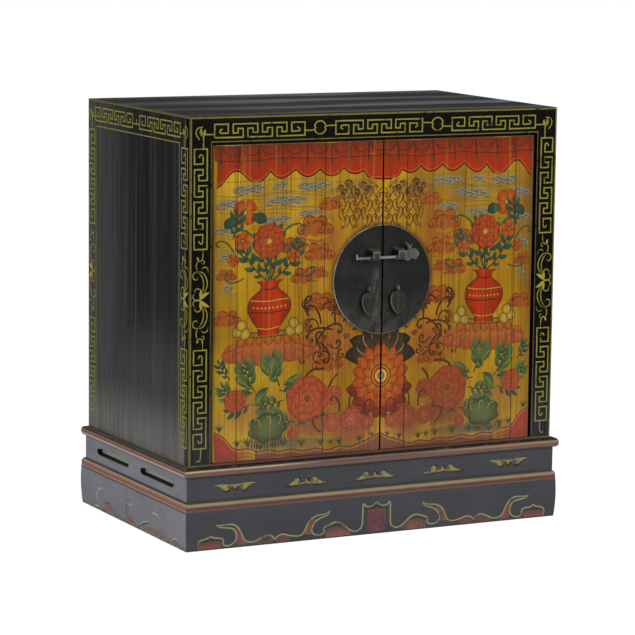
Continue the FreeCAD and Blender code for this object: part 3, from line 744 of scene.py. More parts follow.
# The bud at the corner: two rounded petals, a curl round its outer side, the stem that comes up from
# the stile's fret and the link to the rail's.
bud = olive_line([(-401, 827), (-401, 853)], 1.4) + olive_line([(-400, 855), (-376, 855)], 1.4)
bud += olive_line([(-410, 845), (-419, 857), (-415, 869), (-403, 870)], 1.3)
bud += petal((-403, 851), (-406, 868), 8, (96, 82, 34), (146, 130, 52), 0.1)
bud += petal((-402, 853), (-398, 866), 5, (140, 124, 52), olive, -0.12)
vine = vine_half()
vine += turned(vine, 0.519)
half_border = [fret((-376.5, 875), (203.5, 0), (0, -27)), fret((-421, 826), (0, -203.5), (28.5, 0)),
               fret((-421, 415.5), (0, -203.5), (28.5, 0))]
half_border += ring_knot(-138, 863) + bud + vine
half_border += olive_line([(-404, 211), (-404, 192), (-408, 184), (-414, 187)], 1.3)
half_border += brush([(-383.4, 175), (-383.4, 839.6)], 1.1, (92, 84, 60), (70, 62, 42))
half_border += brush([(-384.5, 839.6), (0, 839.6)], 1.2, (112, 104, 54), (80, 74, 40))
outer_line = [(-428.2, 174), (-428.2, 888.4), (0, 888.4)]
half_border += brush(outer_line, 1.6, (118, 110, 52), (86, 80, 40), rounds=0)
half_border += brush([(-428, 176.5), (-384, 176.5)], 1.0, olive_edge)
border = [fret((-101.75, 848), (203.5, 0), (0, 27))] + half_border + mirrored(half_border)


def dull_foot(where, colour):
    """Dust that dulls the gold towards the floor."""
    return tinge(colour, (104, 106, 98), parts(where)[2], 0.42, 0.19, 0.0, 0.24)


brush_gold = finish("border_gold", stile_black, 0.5, 0.1, painted=0.10, age=dull_foot)
paint("front_border", border, to_front, onto(to_front, case_front), brush_gold, "cabinet", "black_lacquer")

# ------------------------------------------------------------------ borders of the sides
# The same border round each side of the case, fainter from handling: two fret groups along
# the top, a fret, a vine and a fret down the front and the back edge, and one thin line
# round the plain panel between them.
edge_band = [fret((14.5, 826), (0, -203.5), (-28.5, 0)), fret((14.5, 415.5), (0, -203.5), (-28.5, 0))]
edge_band += mirrored(vine, -0.4065) + [(points + (0.4035, 0), tints) for points, tints in bud]
side_border = [(points + (-0.237, 0), tints) for points, tints in edge_band] + mirrored(edge_band, 0.245)
side_border += [fret((-215.5, 875), (205, 0), (0, -28)), fret((26, 875), (201, 0), (0, -28))]
side_border += olive_line([(-11, 856), (26, 856)], 1.3) + olive_line([(6, 856), (6, 866)], 1.3)
side_border += brush([(-213, 177), (-213, 835), (223, 835), (223, 177)], 1.1, olive, olive_edge, rounds=0)
side_border += brush([(-262, 175), (-262, 888.5), (262, 888.5), (262, 175)], 1.2, olive_edge, rounds=0)
faint_gold = finish("side_border_gold", side_black, 0.5, 0.2, painted=-0.02)
for side, facing in sides.items():
    on_side = onto(facing, case_side)
    paint(f"side_border_{side}", side_border, facing, on_side, faint_gold, "cabinet", "black_lacquer")

# ------------------------------------------------------------------ doors
# Each leaf is glued up from three softwood boards, kept flat by two dovetailed battens across its
# back and hung on a pivot above and below. The front is painted on an ochre ground and oiled; the
# paint has worn along the grain and opened where the boards meet.
meeting, lock_level, pivot_x, pivot_y, heel_round = 0.011, 0.541, 0.368, 0.254, 0.011


def from_meeting(x, z, level, squash=1.0):
    """How far a place on the front lies from the point at a height on the meeting line."""
    aside, up = x - meeting, (z - level) * squash
    return maths("SQRT", aside * aside + up * up)


def ochre(where):
    """The ochre ground: uneven along the grain, browned by smoke round the lock and at the edges, and
    cleanest low on the left."""
    x, _, z = parts(where)
    wide = cloud(where, (9, 9, 1.8), 5.0, 0.6)
    colour = ramp(wide, [(0.32, (126, 87, 12)), (0.5, (159, 118, 14)), (0.66, (190, 150, 22))])
    smoked = from_meeting(x, z, 0.5, 0.8) + wide * 0.12
    colour = tinge(colour, (146, 92, 28), smoked, 0.38, 0.13, 0.0, 0.45)
    clean = spread(x, -0.18, -0.26, 0.0, 0.45) * spread(z, 0.44, 0.37)
    colour = blend(colour, clean, (196, 162, 42))
    outer = spread(abs(x) - wide * 0.06, 0.31, 0.37, 0.0, 0.45) * spread(z, 0.38, 0.46, 0.1, 1.0)
    return blend(colour, outer, (104, 76, 34)), cloud(where, (260, 260, 4), 4.0, 0.7)


def leaf_age(where, colour):
    """What time has done to a leaf: dark grain, cracks along it, smoke in the corners, the open
    joints of the boards. Also a dark ring round the lock plate, bare brown wood everywhere but on the
    front, and a pale painted highlight along the top edge."""
    x, y, z = parts(where)
    grain = cloud(where, (230, 230, 3.2), 3.0, 0.65)
    streak = cloud(where, (105, 105, 1.4), 4.0, 0.6, (5, 0, 0))
    bright = cloud(where, (110, 110, 2.0), 3.0, 0.6, (0, 0, 9))
    smoke = cloud(where, (6, 6, 4), 5.0, 0.6, (2, 2, 2))
    edge = maths("MAXIMUM", abs(x) - 0.360, (0.200 - z) * 0.5) + smoke * 0.03
    for tint, value, low, high, share in (
            ((60, 38, 20), grain, 0.48, 0.72, 0.62), ((64, 42, 22), streak, 0.57, 0.73, 0.36),
            ((196, 166, 74), bright, 0.58, 0.76, 0.22), ((58, 44, 30), edge, 0.008, 0.042, 0.42),
            ((84, 56, 32), smoke, 0.58, 0.8, 0.4), ((142, 126, 112), z, 0.34, 0.20, 0.11)):
        colour = tinge(colour, tint, value, low, high, 0.0, share)
    low = spread(z, 0.44, 0.30, 0.0, 0.34) * spread(x, 0.04, 0.10) * spread(x + smoke * 0.08, 0.31, 0.22)
    colour = blend(colour, low, (84, 48, 26))
    halo = from_meeting(x, z, lock_level) + smoke * 0.012
    colour = tinge(colour, (44, 30, 20), halo, 0.134, 0.120, 0.0, 0.62)
    for joint in (-0.324, -0.1245, 0.068, 0.330):
        colour = tinge(colour, (30, 21, 14), abs(x - joint), 0.0012, 0.0004, 0.0, 0.9)
    front, back = -0.2648, -0.2436
    behind = y - (abs(x) > pivot_x) * 0.0085 > front
    wood = tinge((14, 10, 7), (54, 40, 28), y, front, back, 0.0, 1.0)
    # The top edge is painted pale lavender as a painted highlight.
    return blend(blend(colour, behind, wood), behind * (z > 0.8313), (108, 100, 110))


for side in sides:
    for place in ("hinge", "middle", "meeting"):
        clad(f"door_{side}_{place}_board", ochre, 0.5, 0.1, age=leaf_age, bump=0.35)
    for level in ("upper", "lower"):
        clad_in_wood(f"door_{side}_batten_{level}", "x", (62, 46, 32), (94, 72, 50))


def beaten(dark, pale):
    """Hand-forged metal: hammered hollows, a dark skin and paler places where it is rubbed."""
    def ground(where):
        tone = cloud(where, 190, 3.0, 0.6) * 0.35 + cloud(where, 28, 5.0, 0.6) * 0.65
        return ramp(tone, [(0.36, dark), (0.64, pale)]), tone
    return ground


iron_black = beaten((10, 10, 10), (34, 34, 33))
for side in sides:
    for level in ("upper", "lower"):
        clad(f"door_{side}_pivot_{level}", iron_black, 0.5, 0.4, bump=0.4)

# ------------------------------------------------------------------ painting on the doors
# Distemper laid with soft brushes, the same design on both leaves the other way round, in
# millimetres outwards from the meeting line and over the floor: a red cloth valance, clouds, a
# flowering vase on a lotus seat, a lotus medallion that the meeting line halves, rocks and a shore.
ink, ink_brown, wood_brown = (44, 30, 16), (84, 54, 26), (90, 56, 28)
red, deep_red, rust, orange, straw = (160, 42, 8), (104, 34, 18), (146, 70, 22), (172, 96, 28), (178, 144, 52)
teal, teal_dark, moss = (50, 84, 58), (34, 60, 46), (130, 126, 40)
chalk, haze, slate_ink = (150, 147, 120), (104, 103, 86), (60, 63, 58)


def disc(x, z, wide, high, middle, edge, lobes=0, depth=0.0, turn=0.0, rim=None, fade=False, cover=1.0):
    """A round daub between rings round its middle. Its outline may swell into lobes, a rim may lie
    under it, with fade it thins out to nothing, and cover is how thick the paint is."""
    angle = np.linspace(0, 2 * np.pi, 8 * max(lobes, 4) + 1)
    swell = 1 - depth + depth * np.abs(np.cos(lobes * (angle - turn) / 2)) if lobes else np.ones_like(angle)
    ring = np.array([0, 0.3, 0.58, 0.82, 1.0])

    def carried(extra):
        reach = swell[:, None] * ring
        return np.stack([x + (wide + extra) * reach * np.cos(angle)[:, None],
                         z + (high + extra) * reach * np.sin(angle)[:, None]], -1) / 1000

    part = ring[:, None] ** 2
    tints = np.array(screen(middle)) * (1 - part) + np.array(screen(edge)) * part
    tints[:, 3] = cover * np.clip(1.15 - 1.15 * ring ** 1.6, 0, 1) if fade else cover
    return rimmed(carried, 1.0, np.broadcast_to(tints, (len(angle), 5, 4)).copy(), rim)


def daub(x, z, wide, high, tint, cover=1.0):
    """A soft daub of one colour that thins out to nothing."""
    return disc(x, z, wide, high, tint, tint, fade=True, cover=cover)


def tendril(x, z, way, long, bend, curl):
    """A line that leaves a place in one direction and winds ever tighter: its heading turns evenly
    by bend, and by curl with the fourth power of the way gone, in steps that grow shorter."""
    steps = 30
    along = np.linspace(0, 1, steps)
    heading = way + bend * along + curl * along ** 4
    step = long / steps * (1.25 - along ** 3)
    return np.stack([x + np.cumsum(np.cos(heading) * step), z + np.cumsum(np.sin(heading) * step)], 1) / 1000


def scroll(x, z, way, long, bend, curl, wide, tint, edge=None):
    """A tendril drawn with the brush, as a list of one shape."""
    line = tendril(x, z, way, long, bend, curl)
    return [stroke(line, wide / 2000 * taper(len(line), 0.6, 0.35), tint, edge)]


def spray(x, z, way, long, bend, leaves, size, dark, pale, wide=2.0):
    """A stem with leaves on both sides, the longest in its middle, and one at its tip."""
    line = tendril(x, z, way, long, bend, 0)
    shapes = [stroke(line, wide / 2000 * taper(len(line), 1.0, 0.4), dark)]
    for number, place in enumerate(np.linspace(5, len(line) - 2, leaves).astype(int)):
        ahead, hand = line[place] - line[place - 1], 1 if number % 2 else -1
        lean = np.arctan2(ahead[1], ahead[0]) + 0.75 * hand * (number < leaves - 1)
        reach = size * (0.7 + 0.5 * np.sin(np.pi * (number + 0.5) / leaves))
        root = line[place] * 1000
        tip = root + reach * np.array([np.cos(lean), np.sin(lean)])
        shapes += petal(root, tip, reach * 0.40, dark, pale, 0.12 * hand, rows=9)
    return shapes


def bloom(x, z, size, petals, root, point, rim, heart, rings=2, turn=0.3):
    """A flower: rings of petals from the outer one in, then its heart."""
    shapes = []
    for ring in range(rings):
        reach = size * (1 - 0.3 * ring)
        wide = reach * min(2.5 * np.sin(np.pi / petals), 1.0)
        for angle in np.arange(petals) * 2 * np.pi / petals + turn + ring * np.pi / petals:
            way = np.array([np.cos(angle), np.sin(angle)])
            foot, tip = (x, z) + way * size * 0.08, (x, z) + way * reach
            shapes += petal(foot, tip, wide, root, point, 0.0, 0.66, rim, 9)
    return shapes + disc(x, z, size * 0.2, size * 0.2, heart, root, 6, 0.18, rim=rim)


def coil(x, z, size, start, hand, wide, tint):
    """A coil that begins on a circle and winds in towards its middle."""
    x, z = x + size * np.cos(start), z + size * np.sin(start)
    return scroll(x, z, start + hand * 1.57, size * 6.8, hand * 5.6, hand * 4.6, wide, tint)


def cloudlet(x, z, size, tint, line):
    """A painted cloud: a haze, soft round lobes over it, and a coil drawn in each lobe."""
    shapes = daub(x, z, size * 1.7, size * 1.05, tint, 0.7)
    darker = tuple(np.array(screen(tint)) * 0.8)
    for a, b, part, hand in ((0.95, -0.25, 0.52, -1), (-0.95, -0.2, 0.50, 1), (0.42, 0.45, 0.54, -1),
                             (-0.42, 0.5, 0.46, 1), (0.0, -0.1, 0.66, 1)):
        place = (x + a * size, z + b * size)
        shapes += disc(*place, part * size * 1.1, part * size, tint, darker, 5, 0.12, part * 9, cover=0.9)
        shapes += coil(*place, part * size * 0.72, 0.6 if hand > 0 else 2.5, hand, size * 0.11, line)
    return shapes


def drift(x, z, count, size):
    """A drift of sky cloud: a thin haze, a row of flattened hooks one behind the other, dark under
    pale, and long thin streaks over and under them."""
    hooks = []
    for number in range(count):
        place, lift = x + size * (number * 0.66 - 0.6), z + np.sin(number * 1.7) * size * 0.3
        for wide, tint, rise in ((0.42, haze, 0.28), (0.17, slate_ink, 0.18), (0.11, chalk, 0.34)):
            hooks += scroll(place, lift + size * rise, 0.25, size * 2.2, -2.4, -3.0, size * wide, tint)
    shapes = daub(x + count * size * 0.28, z, count * size * 0.56, size * 0.72, haze, 0.75)
    shapes += [(points * (1, 0.62) + (0, 0.38 * z / 1000), tints) for points, tints in hooks]
    for low, start, end in ((0.75, -2.4, 1.2), (-0.85, -0.6, 1.8), (1.15, -0.9, 2.0)):
        foot, long = z - low * size, count * size
        bends = [(x, foot - 3), (x + long * 0.5, foot + 2), (x + end * long, foot - 2)]
        shapes += brush([(x + start * size, foot), *bends], 0.8, (122, 106, 60), ends=(0.1, 0.1))
    return shapes


def rock(x, z, wide, high):
    """A garden rock: a lobed green body, dark hatching down its foot and pale veins over its top."""
    shapes = disc(x, z, wide, high, (88, 98, 52), (44, 60, 40), 7, 0.16, 0.5, ink)
    for place in np.linspace(-0.82, 0.82, 15):
        top = z - high * (0.35 + 0.3 * (1 - place ** 2))
        shapes += scroll(x + place * wide, top, -1.57 + place * 0.3, high * 0.75, 0.1, 0, 2.2, teal_dark)
    veins = [(x + place * wide, z + high * 0.1, 1.9 - place, high * 0.9) for place in (-0.5, -0.1, 0.35)]
    return shapes + each(scroll, veins, -1.5, -3.5, 1.8, (136, 134, 74))


def tuft(x, z, size, tint):
    """Five blades of grass fanned out from one root."""
    shapes = []
    for lean in (-0.8, -0.4, 0.0, 0.4, 0.8):
        tip = (x + size * np.sin(lean), z + size * np.cos(lean))
        shapes += petal((x, z), tip, size * 0.11, tint, tint, lean * 0.2, 0.4, rows=7)
    return shapes


def valance():
    """The painted cloth along the top: two red bands, scalloped below, with an outline, pleats drawn
    from its upper edge and thin swags between them."""
    scallops = [
        [(390, 743), (376, 748), (362, 765), (350, 778), (338, 781), (327, 777), (312, 761), (298, 754),
         (284, 755), (270, 766), (262, 776)],
        [(262, 776), (247, 761), (232, 759), (215, 769), (204, 778)],
        [(204, 778), (189, 766), (174, 761), (160, 768), (148, 778)],
        [(148, 778), (134, 766), (118, 763), (104, 768), (93, 778)],
        [(93, 778), (80, 766), (64, 763), (51, 768), (45, 771), (38, 756), (26, 751), (0, 751)]]
    hem = np.concatenate([bent(scallop) for scallop in scallops])
    upper = [(390, 801), (380, 801), (366, 801), (300, 799), (200, 802), (100, 799), (0, 801)]
    shapes = []
    for low, top_tint, tint, rows in ((hem, (124, 40, 14), (158, 42, 6), 9),
                                      (bent(upper), (104, 36, 14), (146, 46, 12), 5)):
        shapes.append(filled(low * (1, 0) + (0, 0.832), low, top_tint, tint, rows))
    shapes += brush(upper, 0.9, (70, 32, 20))
    shapes += [stroke(hem + (0, 0.0042), 0.0008, (184, 80, 24)), stroke(hem, 0.0013, ink)]
    for x in (372, 330, 286, 232, 176, 122, 76, 34):
        shapes += brush([(x, 830), (x + 1.5, 806), (x + 4, 783)], 1.4, (72, 30, 18), ends=(1, 0.1))
        shapes += petal((x - 3, 800), (x - 1, 781), 4.5, deep_red, rust, 0.1, rows=7)
        shapes += petal((x + 5, 802), (x + 8, 786), 4.0, deep_red, rust, -0.1, rows=7)
        for z, tint in ((810, (70, 32, 18)), (803, (92, 44, 22))):
            shapes += brush([(x - 2, 830), (x - 16, z), (x - 36, z), (x - 50, 830)], 0.9, tint)
    return shapes


def seat(x, z, wide):
    """The lotus seat under the vase: drooping petals from the middle outwards, orange above and dark
    at the tip, each with fine veins, and a row of short ones over their roots."""
    shapes = []
    for place in (-1, 1, -0.78, 0.78, -0.54, 0.54, -0.28, 0.28, 0):
        root = (x + place * wide * 0.55, z - abs(place) * 4)
        tip = (x + place * wide, z - 62 + place ** 2 * 26)
        shapes += petal(root, tip, wide * 0.36, (186, 110, 46), (140, 66, 36), -0.16 * place, 0.6, rust)
        for vein in (-0.3, 0.0, 0.3):
            half_way = ((root[0] + tip[0]) / 2 - place * 6 + vein * wide * 0.2, (root[1] + tip[1]) / 2 - 4)
            end = (tip[0] + vein * 6, tip[1] + 8)
            shapes += brush([root, half_way, end], 0.5, (104, 58, 36), ends=(0.25, 0.1))
    for place in np.linspace(-0.52, 0.52, 7):
        root, tip = (x + place * wide, z + 3), (x + place * wide * 1.25, z - 20)
        shapes += petal(root, tip, 17, orange, rust, 0.0, 0.55, ink, 9)
    return shapes + disc(x, z + 4, wide * 0.62, 6, (150, 110, 44), wood_brown, rim=ink)


def vase(x, foot):
    """A round red vase: its outline is a half profile mirrored, with a pale band, a dark one and a row
    of ochre dots round its shoulder."""
    half = bent([(22, 0), (25, 3), (20, 10), (34, 28), (50, 52), (46, 76), (26, 90), (17, 97), (18, 106),
                 (30, 113)])
    left, right = (half * (way, 1) + (x / 1000, foot / 1000) for way in (-1, 1))
    shapes = [filled(left - (0.0012, 0), right + (0.0012, 0), ink, ink, 9)]
    part = np.array([0, 0.12, 0.3, 0.5, 0.7, 0.88, 1])[None, :, None]
    shade = np.array([0.62, 0.9, 1.18, 1.05, 0.95, 0.8, 0.55])[None, :, None]
    tints = np.broadcast_to(np.array(screen(red)) * shade, (len(half), 7, 4)).copy()
    tints[..., 3] = 1
    shapes.append((left[:, None] * (1 - part) + right[:, None] * part, tints))
    for low, wide, tint in ((50, 47, ink), (74, 44, (170, 134, 52)), (16, 25, (170, 134, 52)), (98, 15, ink)):
        shapes += brush([(x - wide, foot + low), (x, foot + low - 5), (x + wide, foot + low)], 1.1, tint)
    for place in np.linspace(-36, 36, 9):
        shapes += disc(x + place, foot + 60 - 4 * np.cos(place / 30), 2.6, 2.6, (184, 150, 62), rust)
    return shapes


def medallion(z):
    """Half of a lotus medallion about the meeting line: dark curled outer petals, an orange ring, a red
    ring, a banded heart; drooping red petals and brown curls below."""
    shapes = []
    for angle, long in ((1.45, 92), (1.1, 96), (0.74, 100), (0.36, 92)):
        across, up = np.cos(angle), np.sin(angle)
        tip = (long * across, z + 12 + long * up)
        shapes += petal((6, z + 20), tip, 40, (84, 68, 44), (32, 32, 28), 0.16, 0.6, ink)
        shapes += scroll(16 * across, z + 30 + 16 * up, angle, long * 0.6, 0.3, 1.6, 2.4, (146, 112, 60))
    for angle in (-1.4, -1.02, -0.64, -0.26):
        across, up = np.cos(angle), np.sin(angle)
        shapes += petal((6, z - 6), (84 * across, z + 92 * up), 36, (166, 56, 24), deep_red, -0.12, 0.6, ink)
        shapes += scroll(14 * across, z + 14 * up, angle, 52, -0.3, -1.4, 2.0, (184, 118, 58))
    for end, count, long, base, wide, root, point, full in (
            (1.5, 8, 70, 4, 27, (184, 112, 34), (154, 60, 22), 0.64),
            (1.38, 6, 48, 3, 21, (188, 136, 44), (154, 44, 18), 0.62)):
        for angle in np.linspace(-end, end, count):
            tip = (long * np.cos(angle), z + long * np.sin(angle))
            shapes += petal((base, z), tip, wide, root, point, 0.0, full, ink)
    bands = (25, ink), (23, orange), (18, deep_red), (15, (190, 150, 66)), (8, wood_brown), (5, chalk)
    for wide, tint in bands:
        shapes += disc(0, z, wide, wide, tint, tint)
    return shapes


def shore():
    """The red ground line: a high bank at the outer corner falling in waves to the meeting line, with a
    pale and a dark line along its top and water lines below."""
    top = bent([
        (390, 243), (374, 240), (358, 229), (346, 212), (330, 203), (306, 205), (286, 194), (262, 199),
        (236, 190), (206, 197), (180, 188), (150, 196), (124, 187), (96, 195), (72, 187), (46, 197),
        (22, 203), (0, 214)])
    bank = top[top[:, 0] > 0.29]
    shapes = []
    for line, upper, lower in ((top, (142, 80, 56), (114, 72, 54)), (bank, (172, 54, 36), (142, 50, 38))):
        shapes.append(filled(line, line * (1, 0) + (0, 0.1795), upper, lower, 5))
    points, tints = shapes[-1]
    tints[..., 3] = np.clip((points[..., 0] - 0.29) / 0.05, 0, 1)
    shapes += [stroke(top, 0.0009, ink), stroke(top - (0, 0.0035), 0.0007, (176, 120, 72))]
    for low in (0.009, 0.016):
        line = np.stack([top[:, 0], np.maximum(top[:, 1] - low, 0.183)], 1)
        shapes.append(stroke(line, 0.0006, deep_red))
    return shapes


def peony_branch():
    """The flowers in the vase: stems that fan out of its mouth, leaves along them, a peony at the
    middle and smaller flowers at the ends."""
    stems = [(262, 548, *stem) for stem in (
        (1.2, 100, 0.5, 9, 25), (2.0, 112, -0.7, 9, 24), (0.55, 100, 0.9, 9, 22), (2.7, 104, -1.0, 9, 22),
        (1.62, 74, 0.1, 6, 20))]
    shapes = each(spray, stems, teal_dark, teal, 2.6)
    for x, z, way, hand in ((300, 596, 0.2, 1), (222, 600, 2.9, -1), (318, 562, -0.6, 1), (206, 566, 3.7, -1),
                            (296, 640, 0.9, -1), (228, 650, 2.3, 1), (340, 610, 1.2, -1)):
        shapes += scroll(x, z, way, 72, hand * 1.6, hand * 7.0, 3.2, teal, teal_dark)
    small = (322, 636, 19), (206, 600, 15), (344, 598, 13)
    shapes += each(bloom, small, 5, rust, (174, 76, 24), ink, moss, 1)
    shapes += bloom(262, 632, 37, 9, (168, 90, 32), (156, 50, 20), ink, straw, 3)
    shapes += bloom(318, 694, 29, 4, (174, 88, 26), (158, 54, 16), deep_red, straw, 1, 0.78)
    shapes += spray(346, 640, 2.0, 52, -0.5, 7, 22, teal_dark, teal)
    shapes += petal((332, 676), (362, 664), 20, teal, teal_dark, 0.2, 0.6, ink)
    return shapes + petal((304, 678), (270, 672), 22, teal, teal_dark, -0.2, 0.6, ink)


def sky():
    """Stained patches of the ground, dark curls and drifts of cloud under the valance, four columns of
    twining tendrils and soft clouds beside them."""
    shapes = each(daub, (
        (66, 736, 44, 19, (98, 62, 36)), (108, 738, 30, 17, (78, 78, 68)), (40, 742, 26, 13, (112, 66, 34)),
        (84, 720, 34, 12, (92, 60, 36)), (146, 640, 70, 60, (146, 86, 30)),
        (150, 250, 110, 46, (136, 74, 40)), (60, 240, 70, 44, (142, 66, 44)),
        (300, 290, 80, 60, (152, 106, 34)), (120, 400, 80, 70, (146, 82, 34)),
        (230, 208, 130, 16, (104, 92, 58))))
    for x, z, size, hand in ((52, 738, 9, 1), (80, 742, 8, -1), (36, 730, 7, -1), (104, 736, 7, 1),
                             (66, 726, 7, 1), (92, 726, 6, -1)):
        shapes += daub(x, z, size * 2.2, size * 1.7, (92, 64, 46), 0.8)
        shapes += coil(x, z, size * 0.75, 2.0 - hand, hand, 3.2, (58, 42, 32))
    shapes += each(drift, (
        (134, 744, 6, 16), (190, 716, 7, 17), (284, 742, 5, 18), (336, 714, 4, 17), (146, 688, 5, 14),
        (342, 662, 4, 16), (222, 676, 5, 15), (344, 606, 3, 15), (228, 746, 3, 14), (350, 540, 2, 13)))
    for column in range(4):
        first = 12 + column * 26
        shapes += brush([(first + 7 * (-1) ** step, 648 + step * 17) for step in range(6)], 1.0, ink_brown)
        for step in range(5):
            hand = (-1) ** (step + column)
            x, z = first + 2 * hand, 652 + step * 15
            shapes += scroll(x, z, 1.57 - hand, 44, hand * 2.4, hand * 6.6, 2.4, ink_brown)
            shapes += petal((x, z), (x - hand * 8, z + 7), 4, ink_brown, rust, 0.2 * hand, rows=7)
    return shapes + each(cloudlet, (
        (156, 658, 25), (122, 704, 16), (200, 618, 20), (146, 604, 21), (182, 556, 19), (356, 476, 19),
        (142, 500, 22), (126, 372, 22), (60, 262, 17), (150, 562, 14), (360, 566, 14)),
        (150, 74, 26), (112, 44, 22))


def scrollwork():
    """The brown scrolls beside the lock, with coils, berries and small leaves between them."""
    shapes = []
    for x, z, way, long, hand in (
            (104, 446, 1.3, 130, 1), (108, 440, 0.4, 104, -1), (92, 452, 2.3, 70, -1),
            (140, 452, 1.5, 84, -1), (156, 404, 1.9, 120, 1), (120, 392, 0.4, 84, 1),
            (150, 420, 3.6, 80, 1), (100, 350, -0.6, 76, -1), (118, 470, 2.0, 60, 1),
            (166, 470, 0.8, 70, 1), (130, 360, 0.2, 80, -1), (70, 436, 2.8, 60, -1)):
        shapes += scroll(x, z, way, long, hand * 1.5, hand * 7.5, 4.4, (74, 46, 24), ink)
    for x, z, size, start, hand in (
            (128, 488, 9, 0.3, 1), (158, 448, 11, 3.4, -1), (184, 428, 8, 2.2, 1), (110, 416, 9, 0.0, -1),
            (142, 382, 10, 4.6, 1), (90, 392, 7, 1.6, -1), (172, 498, 8, 4.0, 1), (176, 380, 8, 2.8, -1)):
        shapes += coil(x, z, size, start, hand, 3.0, ink)
        shapes += disc(x + size * 1.5, z + size * 0.6 * hand, 3.2, 3.2, (150, 66, 28), ink_brown)
    for x, z, way in ((96, 470, 0.6), (140, 484, 0.9), (122, 490, 2.0), (164, 462, -0.4), (166, 440, 0.6),
                      (150, 396, 2.4), (90, 430, 3.3), (128, 430, -1.0)):
        tip = (x + 17 * np.cos(way), z + 17 * np.sin(way))
        shapes += petal((x, z), tip, 9, wood_brown, rust, 0.2, 0.5, ink, 9)
    return shapes


def garden():
    """What grows along the shore: sprays, broad veined leaves, peonies, a rock, tufts of grass and
    curling stems."""
    shapes = []
    for x, z, way, long, bend, leaves, size in (
            (236, 326, 1.1, 66, 0.5, 8, 28), (290, 318, 0.9, 66, 0.6, 8, 28),
            (240, 320, 3.3, 58, 0.5, 7, 25), (330, 300, 0.4, 52, 0.8, 8, 22),
            (300, 298, -0.4, 50, 0.5, 7, 22), (222, 300, -0.3, 60, 0.4, 8, 25),
            (350, 352, 0.7, 40, 0.6, 7, 16), (120, 258, 0.6, 54, 0.5, 7, 20),
            (196, 252, 0.1, 58, 0.4, 8, 23), (200, 240, 2.6, 54, -0.3, 8, 20)):
        pale = (94, 118, 62) if leaves == 8 else teal
        shapes += spray(x, z, way, long, bend, leaves, size, teal_dark, pale, 2.4)
    for x, z, a, b, wide in ((254, 346, 30, 36, 23), (262, 342, -10, 46, 21), (230, 332, -44, 22, 22),
                             (304, 330, 36, 24, 22), (298, 318, 48, -10, 21), (216, 316, -34, -16, 19),
                             (262, 328, 28, -32, 21)):
        shapes += petal((x, z), (x + a, z + b), wide, teal_dark, (88, 106, 56), 0.1, 0.55, moss)
        shapes += brush([(x, z), (x + a * 0.5, z + b * 0.5), (x + a * 0.86, z + b * 0.86)], 0.8, moss)
        for part in (0.35, 0.55, 0.72):
            tip = (x + a * (part + 0.14) - b * 0.13, z + b * (part + 0.14) + a * 0.13)
            shapes += brush([(x + a * part, z + b * part), tip], 0.5, moss)
    for x, z, size, petals in ((172, 300, 50, 8), (338, 306, 25, 7), (112, 304, 21, 7)):
        shapes += bloom(x, z, size, petals, (178, 96, 48), (152, 62, 38), deep_red, orange, 3)
        shapes += disc(x, z, size * 0.15, size * 0.15, (130, 66, 32), deep_red, rim=moss)
    low = (66, 248, 25, 7), (112, 246, 21, 6), (28, 240, 16, 6), (204, 226, 13, 6)
    shapes += each(bloom, low, (176, 88, 50), (148, 62, 42), deep_red, orange)
    shapes += rock(262, 244, 46, 32) + shore()
    for x, z, size in ((140, 198, 22), (96, 196, 19), (184, 198, 24), (226, 200, 20), (308, 206, 24),
                       (332, 210, 17), (48, 198, 17), (18, 206, 13), (372, 242, 19), (280, 198, 17),
                       (116, 198, 16), (250, 200, 16)):
        shapes += tuft(x, z, size, teal_dark if size % 2 else (64, 70, 36))
    for x, z, way, hand in ((70, 268, 1.2, 1), (98, 264, 1.8, -1), (26, 248, 0.9, 1), (136, 226, 0.5, 1)):
        shapes += scroll(x, z, way, 56, hand * 1.4, hand * 5.0, 3.6, ink_brown, ink)
    return shapes


def leaf_design():
    """Everything on one leaf, from what was painted first to what was painted last."""
    shapes = valance() + sky() + scrollwork() + peony_branch() + seat(262, 436, 108) + vase(262, 438)
    for x, z, size in ((194, 448, 12), (212, 444, 11), (204, 461, 11), (316, 444, 12), (333, 449, 11),
                       (323, 462, 11)):
        shapes += disc(x, z, size, size, (174, 142, 48), (126, 104, 34), rim=ink)
    return shapes + medallion(336) + garden()


def on_leaf(sign, scale, phase):
    """Takes a leaf's measures to its front and round its hinge edge, which is rounded about the pivot
    line. The coats are thinner there, where the edge turns close past the stile. A slow waver of a
    millimetre keeps the two leaves from being quite alike."""
    widest, foot, head = 0.392, 0.1798, 0.8317

    def carried(points, lift):
        other = points[..., ::-1]
        waver = 0.0012 * np.sin(other * 31 + phase) + 0.0005 * np.sin(other * 83 + 2 * phase)
        out, up = np.moveaxis(points + waver, -1, 0)
        out = 0.0002 + np.clip(out - 0.002, 0.0, widest) * scale
        x = meeting + sign * (0.002 + out)
        lift = lift * np.interp(np.abs(x), [0.30, 0.34], [1, 0.36])
        turn = np.clip((np.abs(x) - pivot_x) / heel_round, 0, 1.3)
        x = np.where(turn > 0, sign * (pivot_x + (heel_round + lift) * np.sin(turn)), x)
        y = -pivot_y - (heel_round + lift) * np.cos(turn)
        return np.stack([x, y, np.clip(up, foot, head)], -1)
    return carried


leaf_paint = finish("leaf_paint", ochre, 0.48, 0.1, painted=-0.12, age=leaf_age, bump=0.35)
design = leaf_design()
for side, sign, scale, phase in (("left", -1, 1.0, 0.4), ("right", 1, 0.943, 2.1)):
    leaf = on_leaf(sign, scale, phase)
    paint(f"painting_{side}", design, to_front, leaf, leaf_paint, f"door_{side}", "painted_doors")

# ------------------------------------------------------------------ lock and pulls
# Beaten iron: a round plate in two halves, each pinned to its leaf, two strap loops and a flat
# pin with a cut head through both. The pulls are thin bronze leaves on split-pin eyes.


